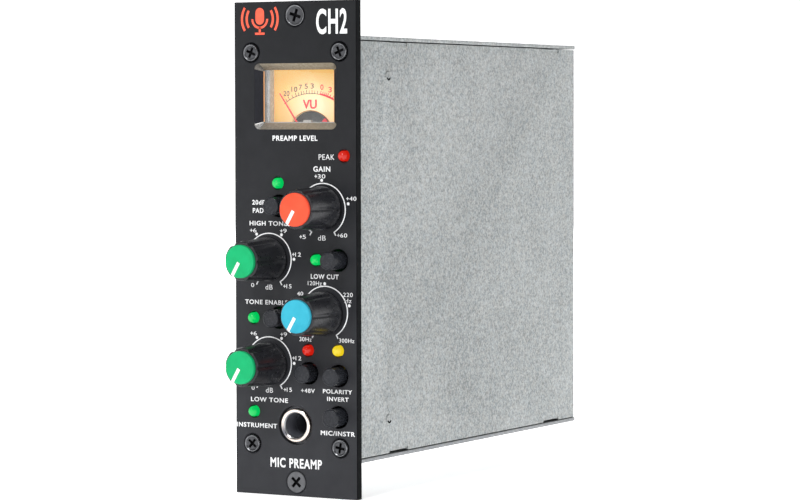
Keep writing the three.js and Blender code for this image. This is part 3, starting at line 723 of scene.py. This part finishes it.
def merged_copy(node):
    """A node's mesh in millimetres, its loose triangles merged and its flat faces whole."""
    bm = bmesh.new()
    bm.from_mesh(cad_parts[node].data)
    bmesh.ops.transform(bm, matrix=Matrix.Scale(1000, 4), verts=bm.verts)
    bmesh.ops.remove_doubles(bm, verts=bm.verts, dist=1e-3)
    bmesh.ops.dissolve_limit(bm, angle_limit=math.radians(0.5), verts=bm.verts, edges=bm.edges)
    return bm


# ---- Printing ----
class Ink:
    """Flat printing on a face that looks along -Y, gathered in one mesh."""

    def __init__(self, face=FRONT, lift=INK, thick=INK + INK_SINK):
        self.bm = bmesh.new()
        self.front = face - lift
        self.thick = thick

    def write(self, words, x, z, width, height, bold=0.0, spacing=1.0):
        """Lettering fitted to a width and height about a centre. A plus in front is drawn as two bars."""
        if words[0] == "+":
            half, bar = height * 0.37, height * 0.09
            at_x = x - width / 2 + half
            self.bar(at_x - half, at_x + half, z - bar, z + bar)
            self.bar(at_x - bar, at_x + bar, z - half, z + half)
            taken = half * 2 + height * 0.16
            words, x, width = words[1:], x + taken / 2, width - taken
        curve = bpy.data.curves.new("letters", "FONT")
        curve.body = words
        curve.offset = bold
        curve.extrude = 0.5
        curve.resolution_u = 5
        curve.space_character = spacing
        letters = bpy.data.objects.new("letters", curve)
        bpy.context.scene.collection.objects.link(letters)
        mesh = bpy.data.meshes.new_from_object(letters)
        bpy.data.objects.remove(letters)
        bpy.data.curves.remove(curve)
        xs = [v.co.x for v in mesh.vertices]
        ys = [v.co.y for v in mesh.vertices]
        centre = Vector(((min(xs) + max(xs)) / 2, (min(ys) + max(ys)) / 2, 0))
        scale = Matrix.Diagonal((width / (max(xs) - min(xs)), height / (max(ys) - min(ys)), self.thick, 1.0))
        to_face = Matrix.Translation((x, self.front + self.thick / 2, z)) @ Y_TURN
        mesh.transform(to_face @ scale @ Matrix.Translation(-centre))
        self.bm.from_mesh(mesh)
        bpy.data.meshes.remove(mesh)

    def raise_face(self, faces):
        """Gives flat faces the ink's thickness."""
        raised = bmesh.ops.extrude_face_region(self.bm, geom=faces)["geom"]
        bmesh.ops.translate(self.bm, verts=points_in(raised), vec=(0, self.thick, 0))

    def band(self, at, radius, width, start, end, steps=64):
        """An arc between two angles, clockwise from the top."""
        before = set(self.bm.faces)
        low, high = radius - width / 2, radius + width / 2
        verts = [self.bm.verts.new((at.x, self.front, at.z + reach)) for reach in (low, high)]
        edge = self.bm.edges.new(verts)
        bmesh.ops.transform(self.bm, matrix=swing(at, start), verts=verts)
        sweep = math.radians(end - start)
        centre = (at.x, 0, at.z)
        bmesh.ops.spin(self.bm, geom=verts + [edge], cent=centre, axis=(0, 1, 0), angle=sweep, steps=steps)
        self.raise_face([face for face in self.bm.faces if face not in before])

    def bar(self, low_x, high_x, low_z, high_z):
        return box_at(self.bm, (low_x, self.front, low_z), (high_x, self.front + self.thick, high_z))

    def spoke(self, at, inner, outer, width, angle):
        """A short radial bar, clockwise from the top."""
        made = self.bar(at.x - width / 2, at.x + width / 2, at.z + inner, at.z + outer)
        bmesh.ops.transform(self.bm, matrix=swing(at, angle), verts=made)

    def dot(self, x, z, radius):
        where = Matrix.Translation((x, self.front, z)) @ Y_TURN
        made = bmesh.ops.create_circle(self.bm, cap_ends=True, segments=20, radius=radius, matrix=where)
        self.raise_face(list(made["verts"][0].link_faces))

    def finish(self, name, slot, finish):
        return add_piece(name, self.bm, BODY, [FINISH[finish]])


def polar(at, radius, degrees):
    """X and Z of a point at an angle clockwise from the top."""
    turn_by = math.radians(degrees)
    return at.x + radius * math.sin(turn_by), at.z + radius * math.cos(turn_by)


def scale_centre(name):
    x, z = SCALES[name]
    return Vector((x, 0, z))


def panel_scales():
    ink = Ink()
    for name in KNOBS:
        at = scale_centre(name)
        shift_x, shift_z = ARC_SHIFT[name]
        arc_at = at + Vector((shift_x, 0, shift_z))
        ink.band(arc_at, ARC_R, ARC_W, -ARC_SWEEP, ARC_SWEEP)
        for side in (-1, 1):
            ink.spoke(arc_at, ARC_R - 0.1, TICK_R, TICK_W, side * ARC_SWEEP)
        for angle, radius in DOTS[name]:
            ink.dot(*polar(at, radius, angle), DOT_R)
    ink.finish("panel_scales", "panel_black", "ink")


def panel_lettering():
    ink = Ink()
    for name, legend in KNOB_LEGENDS.items():
        at = scale_centre(name)
        for words, x, z, width, height in legend:
            ink.write(words, at.x + x, at.z + z, width, height, 0.0, 1.08)
    for words, x, z, width, height in LEGENDS:
        ink.write(words, x, z, width, height, 0.022, 1.14)
    ink.write("PEAK", 9.84, 24.88, 4.86, 1.45, -0.008, 1.08)
    for words, x, z, width, height in TITLES:
        ink.write(words, x, z, width, height, 0.024, 1.12)
    ink.finish("panel_lettering", "panel_black", "ink")


def microphone_mark():
    """A generic microphone between two pairs of sound arcs."""
    ink = Ink()
    at = Vector((-10.95, 0, 61.45))
    capsule = frame_ring(ink.bm, at + Vector((0, 0, 1.35)), 1.35, 2.25, 1.34, ink.front)
    fill(ink.bm, [capsule])
    ink.raise_face(list(ink.bm.faces))
    cradle = at + Vector((0, 0, 0.6))
    ink.band(cradle, 2.35, 0.6, 90, 270, 32)
    ink.bar(at.x - 0.3, at.x + 0.3, at.z - 3.2, at.z - 1.6)
    ink.bar(at.x - 1.5, at.x + 1.5, at.z - 3.64, at.z - 3.05)
    for side in (-90, 90):
        for radius in (4.15, 5.65):
            ink.band(cradle, radius, 0.68, side - 33, side + 33, 24)
    ink.finish("microphone_mark", "panel_black", "red_ink")


# ---- Front panel ----
# Besides the panel's black, these are copies with painted light and shade for the window bevel and the outer
# edges.
PANEL_FINISHES = ["panel", "bevel_top_painted_reflection", "bevel_low_painted_light", "bevel_side_painted_shade", "panel_edge_painted_shade", "corner_top_painted_shade", "corner_low_painted_highlight"]


def front_panel():
    bm = bmesh.new()
    centre = Vector((0, 0, 0))
    inner_w, inner_h = HALF_W - PLATE_EDGE, HALF_H - PLATE_EDGE
    rim = [
        frame_ring(bm, centre, inner_w, inner_h, 0, FRONT),
        frame_ring(bm, centre, HALF_W, HALF_H, 0, FRONT + PLATE_EDGE),
        frame_ring(bm, centre, HALF_W, HALF_H, 0, -PLATE_EDGE),
        frame_ring(bm, centre, inner_w, inner_h, 0, 0),
    ]
    # Finish 4 gives the outer edges a darker black: painted shade.
    bridge(bm, rim, 4)
    case_high = span("case_shell")[1]
    back = -HOLE_GAP
    ledge = [frame_ring(bm, centre, case_high.x + HOLE_GAP, case_high.z + HOLE_GAP, 0, y) for y in (0, back)]
    bridge(bm, ledge)
    fronts, backs, strips = [rim[0]], [ledge[1]], [rim[-1], ledge[0]]
    holes = [(f"{name}_shaft", half_width(f"{name}_shaft") + RUN_CLEARANCE) for name in KNOBS]
    holes += [(f"{name}_button", half_width(f"{name}_button") + BUTTON_CLEARANCE) for name in BUTTONS]
    holes += [(f"{name}_light", half_width(f"{name}_light") - LIGHT_LIP + HOLE_GAP) for name in LIGHTS]
    holes += [("jack_ferrule", half_width("jack_ferrule") + JACK_CLEARANCE)]
    for node, radius in holes:
        at = middle(node)
        steps = [(radius + HOLE_EDGE, FRONT), (radius, FRONT + HOLE_EDGE), (radius, back)]
        loops = [ring(bm, at, *step) for step in steps]
        bridge(bm, loops)
        fronts.append(loops[0])
        backs.append(loops[-1])
    rows = ((PANEL_SCREWS, PANEL_SHANK_R, back, backs), (RACK_SCREWS, RACK_SHANK_R, 0, strips))
    for screws, shank, end, ends in rows:
        for name in screws:
            at = middle(name)
            mouth = half_width(name) + HOLE_GAP
            hole = shank + HOLE_GAP
            steps = [(mouth + HOLE_EDGE, FRONT), (mouth, FRONT + HOLE_EDGE)]
            steps += [(hole, FRONT + SINK_DEPTH), (hole, end)]
            loops = [ring(bm, at, *step) for step in steps]
            bridge(bm, loops)
            fronts.append(loops[0])
            ends.append(loops[-1])
    outer_w, outer_h = WINDOW_HALF_W + BEVEL_W, WINDOW_HALF_H + BEVEL_W
    corner = WINDOW_CORNER - HOLE_EDGE
    window = [
        frame_ring(bm, WINDOW, outer_w + HOLE_EDGE, outer_h + HOLE_EDGE, WINDOW_CORNER, FRONT),
        frame_ring(bm, WINDOW, outer_w, outer_h, corner, FRONT + HOLE_EDGE),
        frame_ring(bm, WINDOW, WINDOW_HALF_W, WINDOW_HALF_H, 0.35, FRONT + BEVEL_DEPTH),
        frame_ring(bm, WINDOW, WINDOW_HALF_W, WINDOW_HALF_H, 0.35, back),
    ]
    bridge(bm, window[:2])
    # Painted light: each bevel face takes a lit or shaded copy by the way it looks. The sides are shaded and
    # the bottom lit; the left corners are shaded above and highlighted below.
    for face in bridge(bm, window[1:3], 1):
        away = face.calc_center_median() - WINDOW
        if abs(away.z) < WINDOW_HALF_H:
            face.material_index = 3
        elif away.x < -WINDOW_HALF_W:
            face.material_index = 6 if away.z < 0 else 5
        elif away.z < 0:
            face.material_index = 2
    bridge(bm, window[2:])
    fronts.append(window[0])
    backs.append(window[-1])
    for loops in (fronts, backs, strips):
        fill(bm, loops)
    finishes = [FINISH[name] for name in PANEL_FINISHES]
    add_piece("panel_plate", bm, BODY, finishes, ["front_panel"])


# ---- Screws ----
def cross_screw(name, shank, slot_half, slot_reach, turned_by):
    """A countersunk screw with a cross recess whose walls lean in; a dished one has a raised round rim."""
    low, high = span(name)
    at = (low + high) / 2
    head, face, tip = high.x - at.x, low.y, high.y
    rise = FRONT - face
    floor_y = face + (0.3 if name in DISHED else 0.02)
    bm = bmesh.new()
    where = Matrix.Translation((at.x, floor_y, at.z)) @ Y_TURN
    bmesh.ops.create_grid(bm, x_segments=3, y_segments=3, size=3.0, matrix=where)
    middles = [(f, f.calc_center_median()) for f in bm.faces]
    corners = [f for f, mid in middles if min(abs(mid.x - at.x), abs(mid.z - at.z)) > 1]
    bmesh.ops.delete(bm, geom=corners, context="FACES")
    for vert in bm.verts:
        for axis in (0, 2):
            off = vert.co[axis] - at[axis]
            vert.co[axis] = at[axis] + math.copysign(slot_reach if abs(off) > 2 else slot_half, off)
    cross = list(bm.faces)
    mouth = [e for e in bm.edges if len(e.link_faces) == 1]
    flat = head - 0.16 - rise * 0.3
    if name in DISHED:
        rim = [(flat - 0.52, floor_y), (flat - 0.3, face + 0.1), (flat - 0.16, face + 0.01)]
    else:
        rim = [(flat - 0.1, floor_y)]
    rim += [(flat, face + 0.02)]
    rim += [(head - 0.08, face + rise * 0.6 + 0.1), (head, FRONT + 0.28)]
    cone = [(shank, FRONT + 1.4), (shank, tip - 0.2), (shank - 0.2, tip)]
    loops = [ring(bm, at, *step) for step in rim + cone]
    fill(bm, [mouth, loops[0]])
    # On a dished head the rim takes finish 1, a lighter steel: painted highlight.
    bridge(bm, loops[1 : len(rim)], 1 if name in DISHED else 0)
    bridge(bm, loops[:2])
    bridge(bm, loops[len(rim) - 1 :])
    fill(bm, [loops[-1]])
    sunk = points_in(bmesh.ops.extrude_face_region(bm, geom=cross)["geom"])
    bmesh.ops.delete(bm, geom=cross, context="FACES")
    bmesh.ops.translate(bm, verts=sunk, vec=(0, RECESS_DEPTH, 0))
    # The recess walls take finish 2, near-black: painted shade.
    for face in {face for vert in sunk for face in vert.link_faces}:
        face.material_index = 2
    about = Matrix.Translation((at.x, 0, at.z))
    lean = about @ Matrix.Diagonal((RECESS_LEAN, 1, RECESS_LEAN, 1)) @ about.inverted()
    bmesh.ops.transform(bm, matrix=lean, verts=sunk)
    bmesh.ops.transform(bm, matrix=swing(at, turned_by), verts=bm.verts)
    steel = "screw" if name in DISHED else "screw_flat"
    finishes = [FINISH[finish] for finish in (steel, "screw_rim_painted_highlight", "recess")]
    add_piece(f"{name}_head", bm, BODY, finishes, [name])


# ---- Knobs ----
def press_flutes(bm, at, base):
    """Presses shallow grooves into the side of a knob, one of them under its pointer."""
    pitch = 360 / FLUTES
    for vert in bm.verts:
        across, up = vert.co.x - at.x, vert.co.z - at.z
        radius = math.hypot(across, up)
        if radius < KNOB_FACE_R - 0.3:
            continue
        angle = math.degrees(math.atan2(across, up)) + ARC_SWEEP
        off = math.radians((angle + pitch / 2) % pitch - pitch / 2) * radius
        if abs(off) > FLUTE_W / 2:
            continue
        end = min(1.0, max(0.0, (base - 0.9 - vert.co.y) / 0.9))
        press = FLUTE_DEPTH * (0.5 + 0.5 * math.cos(2 * math.pi * off / FLUTE_W)) * end * end * (3 - 2 * end)
        vert.co.x -= across / radius * press
        vert.co.z -= up / radius * press


def knob_body(name, body):
    low, high = span(f"{name}_knob")
    at = (low + high) / 2
    face, base, base_r = low.y, high.y, high.x - at.x
    seat = span(f"{name}_cap")[1].y + 0.3
    shaft_room = span(f"{name}_shaft")[0].y - 0.3
    rows = 14
    side_top, side_end = face + 0.25, base - 0.9
    taper = (base_r - KNOB_FACE_R) / rows
    drop = (side_end - side_top) / rows
    side = [(KNOB_FACE_R + taper * i, side_top + drop * i) for i in range(1, rows + 1)]
    profile = [(0, seat), (STEM_R + 0.3, seat), (STEM_R + 0.3, face), (KNOB_FACE_R - 0.25, face)]
    profile += arc(KNOB_FACE_R - 0.25, side_top, 0.25, 90, 0, 4) + side
    profile += [(base_r, base - 0.6), (base_r - 0.12, base - 0.3), (base_r - 0.45, base)]
    profile += [(KNOB_BORE_R, base), (KNOB_BORE_R, shaft_room), (0, shaft_room)]
    bm = turned(profile, at, 144)
    press_flutes(bm, at, base)
    add_piece(f"{name}_knob_body", bm, body, [FINISH["knob"]], [f"{name}_knob"], 40)


def knob_cap(name, body, colour):
    """The coloured disc, and the white pointer that runs over its rim."""
    low, high = span(f"{name}_cap")
    at = (low + high) / 2
    cap_r = high.x - at.x
    knob_face = span(f"{name}_knob")[0].y
    front, back = low.y + RIM_GAP, knob_face - 0.02
    edge = arc(cap_r - 0.3, front + 0.3, 0.3, 90, 0, 5)
    profile = [(0, front), *edge, (cap_r, back), (STEM_R, back), (STEM_R, high.y), (0, high.y)]
    bm = turned(profile, at, 96)
    add_piece(f"{name}_knob_cap", bm, body, [FINISH[colour]], [f"{name}_cap"])

    bm = bmesh.new()
    line = [(POINTER_START, front), *edge, (cap_r, back + 0.02), (KNOB_FACE_R - 0.3, knob_face)]
    verts = [bm.verts.new((at.x - POINTER_W / 2, y, at.z + r)) for r, y in line]
    edges = [bm.edges.new(pair) for pair in zip(verts, verts[1:])]
    made = bmesh.ops.extrude_edge_only(bm, edges=edges)["geom"]
    bmesh.ops.translate(bm, verts=points_in(made), vec=(POINTER_W, 0, 0))
    bmesh.ops.recalc_face_normals(bm, faces=bm.faces)
    bmesh.ops.solidify(bm, geom=list(bm.faces), thickness=-0.05)
    bmesh.ops.transform(bm, matrix=swing(at, -ARC_SWEEP), verts=bm.verts)
    add_piece(f"{name}_pointer", bm, body, [FINISH["ink"]])


def knob_shaft(name, body):
    low, high = span(f"{name}_shaft")
    radius = half_width(f"{name}_shaft")
    profile = [(0, low.y), (radius - 0.3, low.y), (radius, low.y + 0.3)]
    profile += [(radius, high.y - 0.2), (radius - 0.2, high.y), (0, high.y)]
    bm = turned(profile, middle(f"{name}_shaft"), 48)
    add_piece(f"{name}_turned_shaft", bm, body, [FINISH["steel"]], [f"{name}_shaft"])


# ---- Buttons and lights ----
def push_button(name):
    low, high = span(f"{name}_button")
    at = (low + high) / 2
    radius, face = high.x - at.x, low.y
    edge = arc(radius - BUTTON_EDGE, face + BUTTON_EDGE, BUTTON_EDGE, 100, 0, 8)
    stem_tip = high.y
    skirt = face + BUTTON_LENGTH
    profile = [(0, face + 0.06), (radius - BUTTON_EDGE - 0.16, face + 0.1), *edge]
    profile += [(radius, skirt - 0.15), (radius - 0.15, skirt), (1.5, skirt)]
    profile += [(1.5, stem_tip - 0.2), (1.3, stem_tip), (0, stem_tip)]
    bm = turned(profile, at, 72)
    finishes = [FINISH["button"]]
    add_piece(f"{name}_push_button", bm, f"{name}_key", finishes, [f"{name}_button"], 24)


def light(name, colour):
    node = f"{name}_light"
    low, high = span(node)
    at = middle(node)
    flange = half_width(node)
    radius = flange - LIGHT_LIP
    profile = arc(0, low.y + radius, radius, 90, 0, 10)
    profile += [(radius, 2.2), (flange, 2.2), (flange, 3.2), (0, 3.2)]
    bm = turned(profile, at, 48)
    for side in (-1, 1):
        leg_z = at.z + side * LEG_SPACING / 2
        low_leg = (at.x - LEG / 2, 3.2, leg_z - LEG / 2)
        box_at(bm, low_leg, (at.x + LEG / 2, high.y, leg_z + LEG / 2))
    finishes = [lit_material(f"{name}_lit", node, colour)]
    add_piece(f"{name}_light_dome", bm, BODY, finishes, [node])


# ---- Jack ----
def jack():
    low, high = span("jack_ferrule")
    at = (low + high) / 2
    outer, face, tail = high.x - at.x, low.y, high.y
    lip = arc(JACK_BORE_R + 0.95, face + 0.95, 0.95, 180, 90, 8)
    shoulder = arc(outer - 0.4, face + 0.4, 0.4, 90, 0, 8)
    profile = [(JACK_BORE_R, tail), *lip, *shoulder, (outer, tail), (JACK_BORE_R, tail)]
    bm = turned(profile, at, 96)
    # Painted reflection: the bore's wall takes the grey bore finish and the lip next to it ground steel, for
    # the darker rings the chrome shows there.
    for face in bm.faces:
        reach = math.hypot(face.calc_center_median().x - at.x, face.calc_center_median().z - at.z)
        if reach < JACK_BORE_R + 0.02:
            face.material_index = 1
        elif reach < JACK_BORE_R + 0.5:
            face.material_index = 2
    finishes = [FINISH["chrome"], FINISH["bore"], FINISH["steel"]]
    add_piece("jack_ring", bm, BODY, finishes, ["jack_ferrule"])
    near, far = outer + 0.02, outer + 0.6
    washer = [(near, -0.9), (far, -0.9), (far, -0.3), (near, -0.3), (near, -0.9)]
    add_piece("jack_washer", turned(washer, at, 64), BODY, [FINISH["bore"]])
    bm = bmesh.new()
    box_at(bm, (at.x - 0.3, 14, at.z - 2.4), (at.x - 0.1, 26, at.z + 2.4))
    box_at(bm, (at.x + 1.5, 9, at.z + 0.6), (at.x + 2.0, 20, at.z + 2.0))
    soften(bm, list(bm.edges), 0.05)
    add_piece("jack_tip_spring", bm, BODY, [FINISH["steel"]])


# ---- Meter ----
def meter_window():
    """The clear window, the amber seal at its edge and the pale light guide round the dial."""
    bm = merged_copy("meter_lens")
    soften(bm, [e for e in bm.edges if is_sharp(e)], 0.15)
    add_piece("meter_window_glass", bm, BODY, [FINISH["glass"]], ["meter_lens"])

    bm = bmesh.new()
    edge = FRONT + BEVEL_DEPTH
    half_w, half_h = WINDOW_HALF_W - 0.01, WINDOW_HALF_H - 0.01
    for side in (-1, 1):
        xs = sorted((WINDOW.x + side * half_w, WINDOW.x + side * (half_w - SEAL)))
        box_at(bm, (xs[0], edge + 0.02, WINDOW.z - half_h + 0.3), (xs[1], -0.12, WINDOW.z + half_h - 0.3))
    add_piece("meter_window_seal", bm, BODY, [FINISH["seal"]])

    bm = bmesh.new()
    front, back = span("meter_lens")[1].y + 0.15, DIAL_FACE - 0.15
    outer_w = half_width("meter_dial") - 0.1
    top = WINDOW.z + WINDOW_HALF_H + 0.2
    bottom = WINDOW.z - WINDOW_HALF_H + GUIDE_LEDGE
    box_at(bm, (-outer_w, front, bottom), (-GUIDE_SIDE, back, top))
    box_at(bm, (outer_w - 0.5, front, bottom), (outer_w, back, top))
    box_at(bm, (-outer_w, front, top), (outer_w, back, top + 0.6))
    box_at(bm, (-outer_w, front, bottom - 0.6), (outer_w, front + 0.8, bottom))
    post_x = PIVOT.x + 0.85
    post_top = WINDOW.z - WINDOW_HALF_H + 0.9
    box_at(bm, (post_x - 1.2, front + 0.9, WINDOW.z - 16), (post_x + 1.2, front + 1.5, post_top))
    soften(bm, list(bm.edges), 0.06)
    add_piece("meter_light_guide", bm, BODY, [FINISH["guide"]])


def dial_scale():
    grey, red = Ink(DIAL_FACE, **DIAL_INK), Ink(DIAL_FACE, **DIAL_INK)
    grey.band(PIVOT, SCALE_R, 0.17, -38, RED_START, 48)
    red.band(PIVOT, SCALE_R + 0.1, 0.45, RED_START, SCALE_END, 24)
    for ink, marks in ((grey, GREY_MARKS), (red, RED_MARKS)):
        for words, angle in marks:
            ink.spoke(PIVOT, SCALE_R, SCALE_R + 0.95, 0.17, angle)
            ink.write(words, *polar(PIVOT, NUMBER_R, angle), 0.84 * len(words), 1.3, 0.012, 1.05)
    for ink, ticks in ((grey, GREY_TICKS), (red, RED_TICKS)):
        for angle in ticks:
            ink.spoke(PIVOT, SCALE_R, SCALE_R + 0.8, 0.15, angle)
    red.write("VU", PIVOT.x - 0.2, PIVOT.z + 9.3, 3.9, 2.3, 0.035)
    # Painted shade: a brown band round the dial's cut-out stands in for its shaded cut edge.
    brown = Ink(DIAL_FACE, **DIAL_INK)
    brown.band(PIVOT + Vector((0, 0, DIAL_HOLE_RISE)), DIAL_HOLE_R + 0.1, 0.2, -80, 80, 40)
    brown.finish("meter_hole_painted_shade", "dial_face", "dial_brown")
    grey.finish("meter_scale_grey", "dial_face", "dial_grey")
    red.finish("meter_scale_red", "dial_face", "dial_red")


def meter_pointer():
    depth = span("meter_needle")[0].y
    rear = depth + HUB_T
    hub = [(0.65, depth), (HUB_R - 0.15, depth), (HUB_R, depth + 0.15)]
    hub += [(HUB_R, rear), (0.65, rear), (0.65, depth)]
    bm = turned(hub, PIVOT, 40)
    mid = depth + HUB_T / 2
    for angle, reach, tip in ((NEEDLE_REST, NEEDLE_REACH, 0.14), (NEEDLE_REST + ARM_TURN, ARM_REACH, 0.5)):
        low = (PIVOT.x - 0.2, mid - 0.12, PIVOT.z + HUB_R - 0.3)
        bar = box_at(bm, low, (PIVOT.x + 0.2, mid + 0.12, PIVOT.z + reach))
        for vert in bar:
            if vert.co.z > PIVOT.z + HUB_R:
                vert.co.x = PIVOT.x + math.copysign(tip, vert.co.x - PIVOT.x)
        bmesh.ops.transform(bm, matrix=swing(PIVOT, angle), verts=bar)
    add_piece("meter_pointer", bm, "needle", [FINISH["needle"]], ["meter_needle"])


# ---- Case and boards ----
def case_sheet():
    """The folded shell, rounded along its bends."""
    bm = merged_copy("case_shell")
    low, high = span("case_shell")

    def along_bend(edge, inset):
        off = [(v.co.x - low.x - inset, abs(v.co.z) - high.z + inset) for v in edge.verts]
        return all(abs(across) < 0.01 and abs(up) < 0.01 for across, up in off)

    soften(bm, [e for e in bm.edges if along_bend(e, 0)], 1.1, 5)
    soften(bm, [e for e in bm.edges if along_bend(e, SHEET)], 0.3, 3)
    soften(bm, [e for e in bm.edges if is_sharp(e, 60)], 0.12)
    # Faces along the bottom that look along +X take finish 1, a darker grey: painted shade.
    for face in bm.faces:
        if face.normal.x > 0.7 and face.calc_center_median().z < -high.z + SHEET:
            face.material_index = 1
    add_piece("case_sheet", bm, BODY, [FINISH["zinc"], FINISH["lower_edge_painted_shade"]], ["case_shell"])


def cover_sheet():
    """The side cover: its rear bend, the pressed relief of its notches and dimples, its cut edges."""
    bm = merged_copy("side_cover")
    high = span("side_cover")[1]
    face = span("case_shell")[1].x

    def at_rear_bend(edge):
        return all(abs(v.co.x - face) < 0.01 and abs(v.co.y - high.y) < 0.01 for v in edge.verts)

    soften(bm, [e for e in bm.edges if is_sharp(e) and at_rear_bend(e)], 1.2, 5)
    for vert in bm.verts:
        if vert.co.x > face + 0.2:
            vert.co.x = face + DIMPLE_RISE
    soften(bm, [e for e in bm.edges if is_sharp(e) and all(v.co.x > face + 0.2 for v in e.verts)], 0.25, 3)
    soften(bm, [e for e in bm.edges if is_sharp(e, 60) and all(v.co.x < face + 0.01 for v in e.verts)], 0.12)
    add_piece("cover_sheet", bm, BODY, [FINISH["zinc"]], ["side_cover"])


def cover_tabs():
    """Tabs pressed back in the notches, and a near-black half-round under each dimple: a painted shadow."""
    high = span("side_cover")[1]
    face = span("case_shell")[1].x
    bm = bmesh.new()
    for y in (NOTCH_FRONT, high.y - NOTCH_REAR):
        low_corner = (face - 0.8, y - NOTCH_W / 2 - 0.1, high.z - NOTCH_H - 0.1)
        box_at(bm, low_corner, (face - TAB_RECESS, y + NOTCH_W / 2 + 0.1, high.z - 0.1))
        low_corner = (face - 0.8, y - NOTCH_W / 2 - 0.1, -high.z + TAB_SLOT)
        box_at(bm, low_corner, (face - TAB_RECESS, y + NOTCH_W / 2 + 0.1, -high.z + NOTCH_H + 0.1))
    add_piece("cover_tabs", bm, BODY, [FINISH["zinc"]])

    # Painted shadow: a near-black crescent laid just proud of the cover under each dimple.
    bm = bmesh.new()
    inset = span("case_shell")[1].z - DIMPLE_INSET
    for z in (inset, -inset):
        outer = [bm.verts.new((face + DIMPLE_RISE + 0.03, DIMPLE_BACK, z - reach)) for reach in (0.6, 1.15)]
        edge = bm.edges.new(outer)
        centre = (0, DIMPLE_BACK, z)
        start = Matrix.Translation(centre) @ Matrix.Rotation(math.radians(-70), 4, "X")
        bmesh.ops.transform(bm, matrix=start @ Matrix.Translation(centre).inverted(), verts=outer)
        sweep = math.radians(140)
        bmesh.ops.spin(bm, geom=outer + [edge], cent=centre, axis=(1, 0, 0), angle=sweep, steps=16)
    raised = bmesh.ops.extrude_face_region(bm, geom=list(bm.faces))["geom"]
    bmesh.ops.translate(bm, verts=points_in(raised), vec=(-0.1, 0, 0))
    add_piece("dimple_painted_shadows", bm, BODY, [FINISH["recess"]])


def card_contacts():
    """Fifteen gold fingers on each face of the board's tongue."""
    low, high = span("main_board")
    bm = bmesh.new()
    end = high.y - 0.5
    for index in range(-7, 8):
        z = index * CONTACT_PITCH
        for near, far in ((low.x - 0.04, low.x), (high.x, high.x + 0.04)):
            box_at(bm, (near, end - CONTACT_LENGTH, z - CONTACT_W / 2), (far, end, z + CONTACT_W / 2))
    add_piece("card_contacts", bm, BODY, [FINISH["gold"]])


def paint(finish, *nodes):
    """Gives CAD nodes that stay as they are a finish of their own."""
    for name in nodes:
        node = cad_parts[name]
        if not node.material_slots:
            node.data.materials.append(None)
        for slot in node.material_slots:
            slot.material = FINISH[finish]


# ---- Camera, floor and light ----
def camera():
    yaw, pitch, roll = [math.radians(t) for t in CAMERA_TURN]
    data = bpy.data.cameras.new("camera")
    data.sensor_width = 36
    data.lens = CAMERA_LENS
    eye = bpy.data.objects.new("camera", data)
    bpy.context.scene.collection.objects.link(eye)
    aim = Matrix.Rotation(yaw, 4, "Z") @ Matrix.Rotation(math.pi / 2 - pitch, 4, "X")
    eye.matrix_world = Matrix.Translation(CAMERA_PLACE) @ aim @ Matrix.Rotation(roll, 4, "Z")
    bpy.context.scene.camera = eye


def studio():
    """A pale sweep that rises all round, soft lights above, and an even white surround."""
    bm = bmesh.new()
    floor = -HALF_H - 0.05
    profile = [(0, 0), (2600, 0), (3100, 130), (3400, 520), (3500, 1200)]
    verts = [bm.verts.new((radius, 0, floor + up)) for radius, up in profile]
    edges = [bm.edges.new(pair) for pair in zip(verts, verts[1:])]
    full_spin(bm, verts + edges, (0, 0, 0), (0, 0, 1), 96)
    bmesh.ops.remove_doubles(bm, verts=bm.verts, dist=1e-3)
    bmesh.ops.recalc_face_normals(bm, faces=bm.faces)
    sweep = link_mesh("studio_sweep", bm, 60)
    greys = (246, 246, 247), (250, 250, 251)
    pale = surface("pale_sweep", *greys, 3, (0.7, 0.8), 40, 0.0005, 0.1, Emission_Strength=SWEEP_GLOW)
    sweep.data.materials.append(pale)
    world = bpy.data.worlds.new("surround")
    world.use_nodes = True
    world.node_tree.nodes["Background"].inputs["Color"].default_value = (1, 1, 1, 1)
    world.node_tree.nodes["Background"].inputs["Strength"].default_value = WORLD_STRENGTH
    bpy.context.scene.world = world
    for name, power, size, place in SOFT_LIGHTS:
        data = bpy.data.lights.new(name, "AREA")
        data.shape = "RECTANGLE"
        data.energy = power
        data.size, data.size_y = size
        lamp = bpy.data.objects.new(name, data)
        lamp.visible_camera = False
        bpy.context.scene.collection.objects.link(lamp)
        spot = Vector(place)
        aim = (Vector((0, 0.03, 0)) - spot).to_track_quat("-Z", "Y")
        lamp.matrix_world = Matrix.Translation(spot) @ aim.to_matrix().to_4x4()
    bpy.context.scene.view_settings.view_transform = "Standard"


camera()
studio()
front_panel()
for name, recess in PANEL_SCREWS.items():
    cross_screw(name, PANEL_SHANK_R, *recess)
for name, recess in RACK_SCREWS.items():
    cross_screw(name, RACK_SHANK_R, *recess)
for name, colour in KNOBS.items():
    knob_body(name, f"{name}_control")
    knob_cap(name, f"{name}_control", colour)
    knob_shaft(name, f"{name}_control")
for name in BUTTONS:
    push_button(name)
for name, colour in LIGHTS.items():
    light(name, colour)
jack()
meter_window()
dial_scale()
meter_pointer()
panel_scales()
panel_lettering()
microphone_mark()
case_sheet()
cover_sheet()
cover_tabs()
card_contacts()
paint("housing", "meter_housing")
paint("dial", "meter_dial")
paint("magnet", "meter_movement")
paint("bulb", "meter_lamp")
paint("brass", *(f"{name}_pot" for name in KNOBS), "board_spacer_front", "board_spacer_rear")
paint("black_plastic", *(f"{name}_switch" for name in BUTTONS), "board_header")
paint("bore", "jack_socket")
paint("board", "front_board", "main_board")
paint("core", "transformer")
paint("sleeve", "capacitor_upper", "capacitor_lower")
